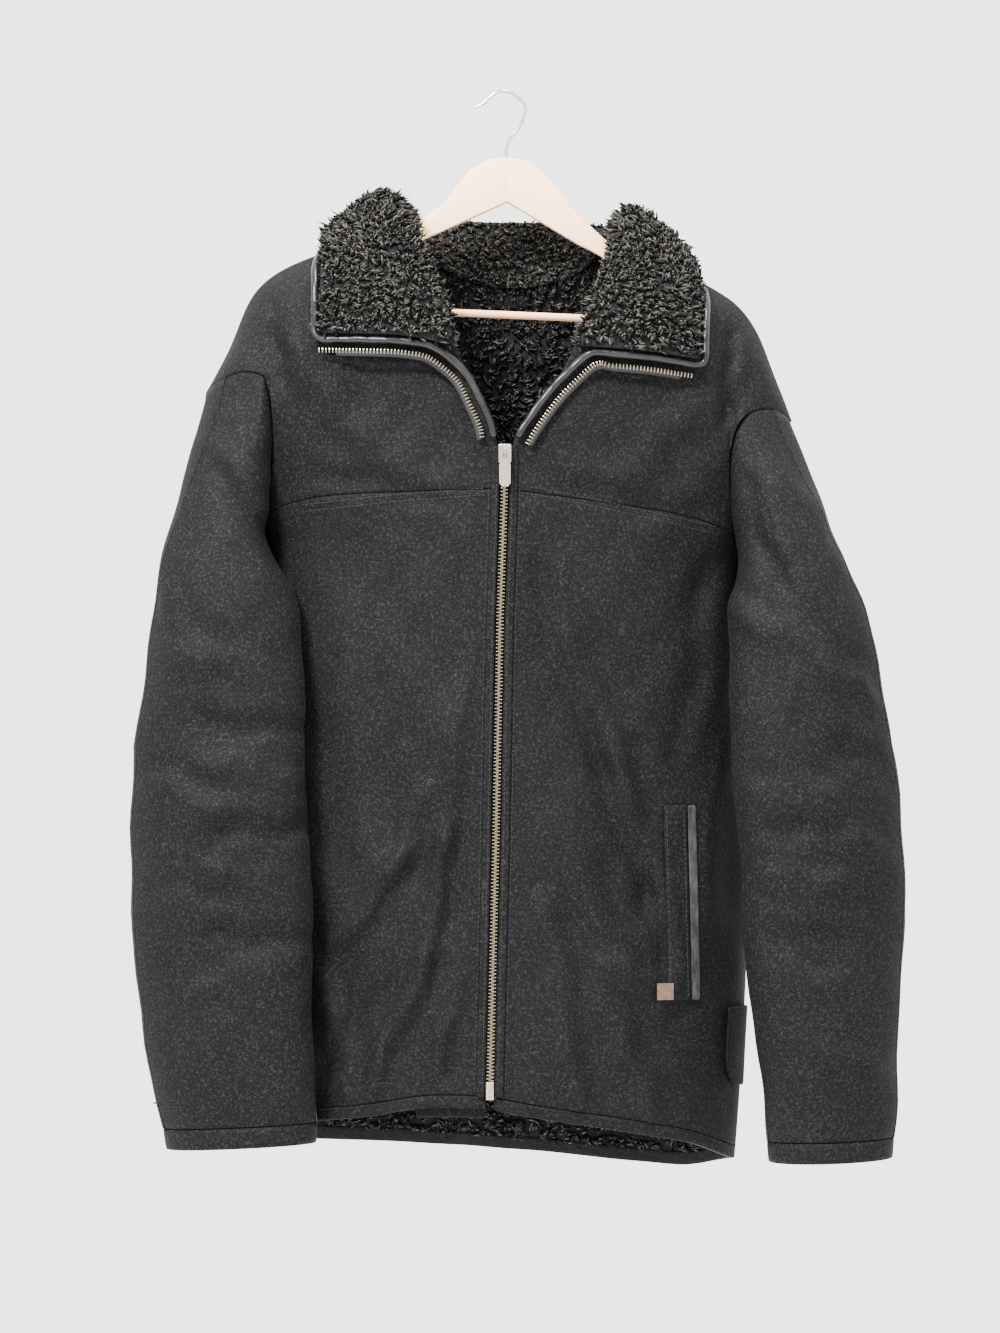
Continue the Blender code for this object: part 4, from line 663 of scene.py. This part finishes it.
def set_points(obj, points):
    obj.data.vertices.foreach_set("co", (points * MM).ravel())
    obj.data.update()


def faces_of(obj):
    """Middles, normals and areas of the object's faces, in millimetres."""
    mesh = obj.data
    count = len(mesh.polygons)
    middles, normals, areas = np.empty(count * 3), np.empty(count * 3), np.empty(count)
    mesh.polygons.foreach_get("center", middles)
    mesh.polygons.foreach_get("normal", normals)
    mesh.polygons.foreach_get("area", areas)
    return middles.reshape(-1, 3) / MM, normals.reshape(-1, 3), areas / MM**2


def outwards(node, middles, normals):
    """How far each face looks out of the garment: 1 is straight out, -1 straight in."""
    way = outward_from(node, middles)
    way /= np.maximum(np.linalg.norm(way, axis=1, keepdims=True), 1e-6)
    return (way * normals).sum(axis=1)


def outward_from(node, middles):
    """The way out of the garment at each place."""
    if node.startswith(("sleeve", "cuff")):
        axis = sleeve_axes()["left" if "left" in node else "right"]
        way = middles - np.stack([np.interp(middles[:, 2], axis[:, 0], axis[:, 1]),
                                  np.interp(middles[:, 2], axis[:, 0], axis[:, 2]),
                                  middles[:, 2]], axis=1)
        return way
    if node.startswith("lapel"):
        return np.tile((0.0, 1.0, -0.25), (len(middles), 1))
    if node == "collar_back":
        return middles * np.array([0.5, 1.0, 0.0]) + np.array([0.0, 20.0, 0.0])
    return middles * np.array([0.35, 1.0, 0.0])


def ride_as(obj, node):
    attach(obj, JACKET)
    if node:
        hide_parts(node)


def slot_of(node):
    for part in frame["record"]["subparts"]:
        if part["node"] == node:
            return part["material_slot"]
    raise RuntimeError(f"no slot for {node}")


def make_cloth():
    for node, levels, width, length, area, rests in CLOTH:
        sharp = BACK_SHARPNESS if node.endswith("back") else SHARPNESS
        obj = smooth_copy(node, f"{node}_cloth", levels, sharp, shift_for(node))
        if node in SEAM_REACH:
            points = points_of(obj)
            limit, reach = SEAM_REACH[node]
            points[:, 2] += reach * np.clip((limit - points[:, 2]) / 20.0, 0, 1)
            set_points(obj, points)
        obj.data.materials.clear()
        obj.data.materials.append(finish_of("outer_leather"))
        obj.data.materials.append(finish_of("pile_base"))
        middles, normals, _ = faces_of(obj)
        lined = not node.startswith(("wind", "side", "pocket"))
        inside = (outwards(node, middles, normals) < INSIDE) & lined
        obj.data.polygons.foreach_set("material_index", inside.astype(np.int32))
        ride_as(obj, node)


def make_trim():
    for node, levels, width, length, area, rests in TRIM:
        sharp = BINDING_SHARPNESS if node.startswith("lapel") else TRIM_SHARPNESS
        shift = torso_shift if node.startswith("pocket") else None
        obj = smooth_copy(node, f"{node}_trim", levels, sharp, shift)
        if node.startswith("lapel"):
            points = points_of(obj)
            x, y, z = points.T
            ripple = 0.35 * np.sin(0.31 * x + 0.2 * z) + 0.25 * np.sin(0.17 * x - 0.43 * z)
            points[:, 1] -= ripple
            set_points(obj, points)
        obj.data.materials.clear()
        key = "outer_leather" if node.startswith(("hang", "front")) else slot_of(node)
        obj.data.materials.append(finish_of(key))
        ride_as(obj, node)


def near_tree(points):
    """A tree that finds the nearest of the points."""
    tree = KDTree(len(points))
    for place, point in enumerate(points):
        tree.insert(point, place)
    tree.balance()
    return tree


def pile_region(node, middles, normals):
    """Which faces of a piece carry pile that shows."""
    out = outwards(node, middles, normals)
    inside = out < INSIDE
    x, z = middles[:, 0], middles[:, 2]
    if node.startswith("lapel"):
        binding = NODES[node.replace("lapel", "lapel_binding")].data.vertices
        edge = near_tree([vertex.co / MM for vertex in binding])
        clear = np.array([edge.find(middle)[2] > BINDING_MARGIN for middle in middles])
        return (out < 0.2) & clear
    if node == "collar_back":
        return out < 0.3
    if node == "back":
        return inside & ((z > BACK_NECK) & (np.abs(x) < BACK_NECK_HALF) | (z < HEM_PILE))
    if node.startswith("yoke"):
        return inside & (z > YOKE_NECK) & (np.abs(x) < YOKE_NECK_HALF)
    if node.startswith("front"):
        return inside & (z < HEM_PILE)
    return inside & (z < CUFF_PILE)


def lock_points(obj, node, spacing, rng):
    """Roots of the locks on one piece, and the ways they stand."""
    middles, normals, areas = faces_of(obj)
    chosen = np.flatnonzero(pile_region(node, middles, normals))
    weight = areas[chosen]
    count = int(weight.sum() / spacing**2)
    picked = chosen[np.searchsorted(np.cumsum(weight) / weight.sum(), rng.random(count))]
    size = np.sqrt(areas[picked])[:, None]
    jitter = rng.normal(0.0, 0.4, (count, 3)) * size
    jitter -= (jitter * normals[picked]).sum(axis=1, keepdims=True) * normals[picked]
    return middles[picked] + jitter, normals[picked]


def make_locks(node, spacing, length, seed):
    """One mesh of bent, tapered locks over the pile side of a piece."""
    rng = np.random.default_rng(seed)
    roots, ways = lock_points(bpy.data.objects[f"{node}_cloth"], node, spacing, rng)
    count = len(roots)
    drift = np.stack([np.sin(0.06 * roots[:, 2] + 0.05 * roots[:, 0]),
                      0.2 * np.sin(0.09 * roots[:, 0]), np.full(count, -0.35)], axis=1)
    clump = np.stack([np.sin(0.9 * roots[:, 0] + 1.3 * roots[:, 2]), np.zeros(count),
                      np.cos(1.1 * roots[:, 0] - 0.8 * roots[:, 2])], axis=1)
    tall = length * (0.6 + 0.65 * rng.random(count))[:, None]
    centres = near_tree(roots[::TUFT])
    tuft = np.array([centres.find(root)[0] for root in roots]) - roots
    tuft -= (tuft * ways).sum(axis=1, keepdims=True) * ways
    lean = 0.4 * drift + 0.25 * clump + 0.85 * tuft / tall + rng.normal(0.0, 0.25, (count, 3))
    side = np.cross(ways, rng.normal(0.0, 1.0, (count, 3)))
    side /= np.maximum(np.linalg.norm(side, axis=1, keepdims=True), 1e-6)
    other = np.cross(ways, side)
    wide = LOCK_GIRTH * length * (0.7 + 0.6 * rng.random(count))[:, None]
    curl = rng.normal(0.0, 0.45, (count, 3))
    rings = []
    for share, girth, _ in LOCK_RINGS:
        bow = curl * tall * share * (1 - share)
        middle = roots + ways * tall * share + lean * tall * share**2 + bow
        for k in range(3):
            turn = 2 * math.pi * k / 3 + share
            rings.append(middle + (side * math.cos(turn) + other * math.sin(turn)) * wide * girth)
    rings.append(roots + ways * tall * 0.95 + lean * tall * 0.98)
    points = np.stack(rings, axis=1)
    pattern = []
    for ring in range(2):
        for k in range(3):
            a, b = ring * 3 + k, ring * 3 + (k + 1) % 3
            pattern += [(a, b, b + 3), (a, b + 3, a + 3)]
    pattern += [(6, 7, 9), (7, 8, 9), (8, 6, 9), (0, 2, 1)]
    faces = (np.array(pattern)[None] + (np.arange(count) * 10)[:, None, None]).reshape(-1, 3)
    mesh = bpy.data.meshes.new(f"{node}_pile")
    mesh.from_pydata((points.reshape(-1, 3) * MM).tolist(), [], faces.tolist())
    shade = mesh.color_attributes.new("shade", "FLOAT_COLOR", "POINT")
    pale = np.clip(rng.beta(1.1, 2.3, count) * 1.35, 0.02, 1.0)[:, None]
    by_ring = np.array([paleness for _, _, paleness in LOCK_RINGS for _ in range(3)] + [1.0])[None]
    values = np.repeat((pale * by_ring).reshape(-1, 1), 4, axis=1)
    shade.data.foreach_set("color", values.ravel().astype(np.float32))
    mesh.shade_smooth()
    mesh.materials.append(finish_of("pile_locks"))
    ride_as(link(f"{node}_pile", mesh), None)


def rod_line(node, across, up):
    """The middle line of a rod-like node, from its sets of four corners in order along its run."""
    points = np.unique(np.round([tuple(v.co / MM) for v in NODES[node].data.vertices], 2), axis=0)
    order = points[np.argsort(points[:, 0] * across + points[:, 2] * up)]
    groups = order[: len(order) // 4 * 4].reshape(-1, 4, 3)
    return groups.mean(axis=1)


def evenly(line, pitch):
    """Places and runs along a line at an even pitch."""
    steps = np.linalg.norm(np.diff(line, axis=0), axis=1)
    length = np.concatenate([[0], np.cumsum(steps)])
    places = np.arange(pitch / 2, length[-1], pitch)
    found = np.stack([np.interp(places, length, line[:, k]) for k in range(3)], axis=1)
    run = np.gradient(found, axis=0)
    return found, run / np.maximum(np.linalg.norm(run, axis=1, keepdims=True), 1e-6)


def bricks(name, middles, longs, fronts, size, key, node=None):
    """One mesh of small bevelled blocks: size is along the run, across it and towards the front."""
    unit_block = bmesh.new()
    bmesh.ops.create_cube(unit_block, size=1.0)
    bmesh.ops.bevel(unit_block, geom=unit_block.edges[:], offset=0.2, segments=1, profile=0.5,
                    affect="EDGES")
    corners = np.array([v.co for v in unit_block.verts])
    faces = [[v.index for v in f.verts] for f in unit_block.faces]
    unit_block.free()
    sides = np.cross(longs, fronts)
    points = (middles[:, None] + corners[None, :, 0:1] * longs[:, None] * size[0]
              + corners[None, :, 1:2] * sides[:, None] * size[1]
              + corners[None, :, 2:3] * fronts[:, None] * size[2])
    all_faces = [[i + n * len(corners) for i in face] for n in range(len(middles)) for face in faces]
    mesh = bpy.data.meshes.new(name)
    mesh.from_pydata((points.reshape(-1, 3) * MM).tolist(), [], all_faces)
    mesh.shade_smooth()
    mesh.set_sharp_from_angle(angle=math.radians(50))
    mesh.materials.append(finish_of(key))
    ride_as(link(name, mesh), node)


def square_to(run):
    """The way forward, square to each run."""
    front = np.tile((0.0, -1.0, 0.0), (len(run), 1))
    front = front - (front * run).sum(axis=1, keepdims=True) * run
    return front / np.linalg.norm(front, axis=1, keepdims=True)


def make_zip():
    pitch = sizes().tooth_pitch / MM
    points = np.array([tuple(v.co / MM) for v in NODES["zip_chain"].data.vertices])
    heights = np.linspace(points[:, 2].max(), points[:, 2].min(), 60)
    depths = np.polyval(np.polyfit(points[:, 2], points[:, 1], 4), heights)
    rows = np.stack([zip_x(heights), depths, heights], axis=1)
    middles, run = evenly(rows, pitch / 2)
    front = square_to(run)
    side = np.where(np.arange(len(middles)) % 2 == 0, -1.0, 1.0)[:, None]
    across = np.cross(run, front)
    moved = middles + across * side * TOOTH_SIDE
    bricks("zip_teeth_closed", moved, run, front, CLOSED_TOOTH, "zip_metal", "zip_chain")
    for name, across_share in (("left", 0.8), ("right", -0.8)):
        line = rod_line(f"zip_row_{name}", across_share, -0.6)
        end = line[0] - line[4]
        line = np.vstack([line[0] + end / np.linalg.norm(end) * ROW_EXTRA[name], line])
        middles, run = evenly(line, pitch)
        front = square_to(run)
        down = np.cross(run, front)
        down *= -np.sign(down[:, 2:3])
        bricks(f"zip_teeth_{name}", middles + down * ROW_DROP, run, front, OPEN_TOOTH, "zip_metal",
               f"zip_row_{name}")


def stitches(name, line):
    middles, run = evenly(np.array(line), sizes().stitch_pitch / MM)
    bricks(name, middles, run, square_to(run), STITCH, "thread")


def tree_of(names):
    """A tree of the cloth's faces, to lay thread on."""
    points, faces = [], []
    for name in names:
        mesh = bpy.data.objects[name].data
        start = len(points)
        points += [v.co.copy() for v in mesh.vertices]
        faces += [[start + i for i in p.vertices] for p in mesh.polygons]
    return BVHTree.FromPolygons(points, faces)


def on_front(tree, places):
    """The places, x and height, laid on the front of the cloth."""
    found = []
    for x, z in places:
        hit = tree.ray_cast(Vector((x * MM, -0.4, z * MM)), Vector((0.0, 1.0, 0.0)))
        if hit[0] is not None:
            found.append((x, hit[0].y / MM - THREAD_LIFT, z))
    return found


def make_stitches():
    for name, seam in YOKE_SEAMS.items():
        tree = tree_of([f"yoke_{name}_cloth", f"front_{name}_cloth", f"hem_front_{name}_cloth"])
        xs = np.linspace(seam[0][0], seam[-1][0], 60)
        heights = np.interp(xs, *np.array(seam).T)
        for row, rise in YOKE_ROWS:
            stitches(f"yoke_thread_{name}_{row}", on_front(tree, zip(xs, heights + rise)))
        for row, shift in FRONT_ROWS:
            sign = -1.0 if name == "left" else 1.0
            heights = np.linspace(FRONT_ROW_TOP, FRONT_ROW_LOW, 140)
            line = [(zip_x(z) + sign * shift, z) for z in heights]
            edge = tree_of([f"front_edge_{name}_trim"]) if row == "inner" else tree
            stitches(f"front_thread_{name}_{row}", on_front(edge, line))
    tree = tree_of(["pocket_welt_right_cloth"])
    for row, shift in POCKET_ROWS:
        line = [(POCKET_X + shift + POCKET_SLANT * (POCKET_TOP - z) / POCKET_HEIGHT, z)
                for z in np.linspace(POCKET_TOP - 4, POCKET_TOP - POCKET_HEIGHT + 4, 50)]
        stitches(f"pocket_thread_{row}", on_front(tree, line))


def make_wood():
    """The flat-faced wood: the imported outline, with the straight-sided notch under the middle."""
    solid = BVHTree.FromPolygons([v.co for v in NODES["hanger_yoke"].data.vertices],
                                 [p.vertices for p in NODES["hanger_yoke"].data.polygons])
    low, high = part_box("hanger_yoke")
    columns, rings = [], []
    for x in np.linspace(low[0] / MM + 0.4, high[0] / MM - 0.4, WOOD_COLUMNS):
        under = solid.ray_cast(Vector((x * MM, 0.0, -0.5)), Vector((0.0, 0.0, 1.0)))[0]
        over = solid.ray_cast(Vector((x * MM, 0.0, 0.5)), Vector((0.0, 0.0, -1.0)))[0]
        if under is None or over is None:
            continue
        from_notch = x - NOTCH_X
        notch = NOTCH_Z - (NOTCH_LEFT if from_notch < 0 else NOTCH_RIGHT) * abs(from_notch)
        blend = np.clip((abs(from_notch) - NOTCH_HALF) / NOTCH_BLEND, 0, 1)
        bottom, top = under.z / MM, over.z / MM
        bottom = bottom * blend + notch * (1 - blend)
        columns.append((x, min(bottom, top - 1.0), top, np.interp(abs(x), (50.0, 72.0), (6.0, 4.4))))
    for x, bottom, top, half in columns:
        soft = min(2.2, 0.3 * (top - bottom))
        hard = min(0.8, 0.2 * (top - bottom))
        profile = [(-half, bottom + hard), (-half, top - soft), (-half + 0.3 * soft, top - 0.3 * soft),
                   (-half + soft, top), (half - soft, top), (half - 0.3 * soft, top - 0.3 * soft),
                   (half, top - soft), (half, bottom + hard), (half - hard, bottom), (hard - half, bottom)]
        rings.append([(x, y, z) for y, z in profile])
    points = np.array(rings).reshape(-1, 3)
    size = len(rings[0])
    faces = [[n * size + k, n * size + (k + 1) % size, (n + 1) * size + (k + 1) % size,
              (n + 1) * size + k] for n in range(len(rings) - 1) for k in range(size)]
    faces += [list(range(size))[::-1], [(len(rings) - 1) * size + k for k in range(size)]]
    mesh = bpy.data.meshes.new("hanger_wood")
    mesh.from_pydata((points * MM).tolist(), [], faces)
    work = bmesh.new()
    work.from_mesh(mesh)
    bmesh.ops.recalc_face_normals(work, faces=work.faces)
    work.to_mesh(mesh)
    work.free()
    mesh.shade_smooth()
    mesh.set_sharp_from_angle(angle=math.radians(40))
    return link("hanger_wood", mesh)


def make_hanger():
    for obj, node, key, slot in (
        (make_wood(), "hanger_yoke", "birch", "birch"),
        (smooth_copy("hanger_bar", "hanger_rail", 3, 0.8), "hanger_bar", "birch_bar", "birch"),
        (smooth_copy("hanger_hook", "hanger_wire", 2, 0.5), "hanger_hook", "hook_wire", "hook_wire"),
    ):
        obj.data.materials.clear()
        obj.data.materials.append(finish_of(key))
        ride_as(obj, node)


def dress_nodes():
    """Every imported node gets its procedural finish, also those that a piece replaces."""
    for node, obj in NODES.items():
        slot = slot_of(node)
        key = "pile_base" if slot == "pile" else slot
        if node in ("zip_slider", "zip_pull_tab", "zip_crown", "zip_box"):
            key = "puller_metal"
        obj.data.materials.clear()
        obj.data.materials.append(finish_of(key))
        obj.data.shade_smooth()
        obj.data.set_sharp_from_angle(angle=math.radians(32))


def make_stage():
    scene = bpy.context.scene
    mesh = bpy.data.meshes.new("floor")
    corners = [(x * FLOOR_HALF, y * FLOOR_HALF, FLOOR_HEIGHT)
               for x, y in ((-1, -1), (1, -1), (1, 1), (-1, 1))]
    mesh.from_pydata(corners, [], [(0, 1, 2, 3)])
    mesh.materials.append(finish_of("floor"))
    floor = link("floor", mesh)
    world = scene.world or bpy.data.worlds.new("studio")
    scene.world = world
    world.use_nodes = True
    sky = world.node_tree.nodes["Background"]
    sky.inputs["Color"].default_value = (1.0, 0.99, 0.98, 1.0)
    sky.inputs["Strength"].default_value = SKY_STRENGTH
    for name, place, size, power in LIGHTS:
        light = bpy.data.lights.new(name, "AREA")
        light.size = size
        light.energy = power
        lamp = link(name, light)
        lamp.location = place
        aim = Vector(LIGHT_AIM) - Vector(place)
        lamp.rotation_euler = aim.to_track_quat("-Z", "Y").to_euler()
    lens = bpy.data.cameras.new("camera")
    lens.sensor_fit = "VERTICAL"
    lens.sensor_height = SENSOR_HEIGHT
    lens.lens = SENSOR_HEIGHT * (CAMERA_DISTANCE - JACKET_FRONT) / FRAME_HEIGHT
    camera = link("camera", lens)
    camera.location = (CAMERA_X, -CAMERA_DISTANCE, CAMERA_Z)
    camera.rotation_euler = (math.pi / 2, 0.0, 0.0)
    scene.camera = camera


def make_pile():
    length, spacing = sizes().pile_length / MM, sizes().pile_spacing / MM
    for place, (node, wider, taller) in enumerate(PILE):
        make_locks(node, spacing * wider, length * taller, FIRST_SEED + place)


class JACKET_OT_finishes(bpy.types.Operator):
    """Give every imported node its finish"""

    bl_idname = "jacket.finishes"
    bl_label = "Finishes"

    def execute(self, context):
        dress_nodes()
        return {"FINISHED"}


class JACKET_OT_cloth(bpy.types.Operator):
    """Make the creased leather pieces with their pile side"""

    bl_idname = "jacket.cloth"
    bl_label = "Leather pieces"

    def execute(self, context):
        make_cloth()
        return {"FINISHED"}


class JACKET_OT_trim(bpy.types.Operator):
    """Make the bindings, front edges, facings and tapes"""

    bl_idname = "jacket.trim"
    bl_label = "Trim"

    def execute(self, context):
        make_trim()
        return {"FINISHED"}


class JACKET_OT_pile(bpy.types.Operator):
    """Grow the locks of pile on the collar and inside the openings"""

    bl_idname = "jacket.pile"
    bl_label = "Pile"

    def execute(self, context):
        make_pile()
        return {"FINISHED"}


class JACKET_OT_zip(bpy.types.Operator):
    """Set the zip's teeth, closed and open"""

    bl_idname = "jacket.zip"
    bl_label = "Zip teeth"

    def execute(self, context):
        make_zip()
        return {"FINISHED"}


class JACKET_OT_stitches(bpy.types.Operator):
    """Sew the visible rows of thread"""

    bl_idname = "jacket.stitches"
    bl_label = "Stitches"

    def execute(self, context):
        make_stitches()
        return {"FINISHED"}


class JACKET_OT_hanger(bpy.types.Operator):
    """Make the hanger's wood, rail and wire"""

    bl_idname = "jacket.hanger"
    bl_label = "Hanger"

    def execute(self, context):
        make_hanger()
        return {"FINISHED"}


class JACKET_OT_stage(bpy.types.Operator):
    """Set the floor, the light and the camera"""

    bl_idname = "jacket.stage"
    bl_label = "Stage"

    def execute(self, context):
        make_stage()
        return {"FINISHED"}


STEPS = ("finishes", "cloth", "trim", "pile", "zip", "stitches", "hanger", "stage")


class JACKET_PT_panel(bpy.types.Panel):
    """Sizes, colours and the steps in order"""

    bl_label = "Jacket"
    bl_idname = "JACKET_PT_panel"
    bl_space_type = "VIEW_3D"
    bl_region_type = "UI"
    bl_category = "Jacket"

    def draw(self, context):
        for group in (context.scene.jacket_sizes, context.scene.jacket_colours):
            for name in group.__annotations__:
                self.layout.prop(group, name)
        for step in STEPS:
            self.layout.operator(f"jacket.{step}")


CLASSES = (
    JacketSizes, JacketColours, JACKET_OT_finishes, JACKET_OT_cloth, JACKET_OT_trim,
    JACKET_OT_pile, JACKET_OT_zip, JACKET_OT_stitches, JACKET_OT_hanger, JACKET_OT_stage,
    JACKET_PT_panel,
)


def register():
    for cls in CLASSES:
        bpy.utils.register_class(cls)
    bpy.types.Scene.jacket_sizes = bpy.props.PointerProperty(type=JacketSizes)
    bpy.types.Scene.jacket_colours = bpy.props.PointerProperty(type=JacketColours)


def unregister():
    del bpy.types.Scene.jacket_colours
    del bpy.types.Scene.jacket_sizes
    for cls in reversed(CLASSES):
        bpy.utils.unregister_class(cls)


def main():
    register()
    for step in STEPS:
        getattr(bpy.ops.jacket, step)()
    bpy.context.view_layer.update()


if __name__ == "__main__":
    main()
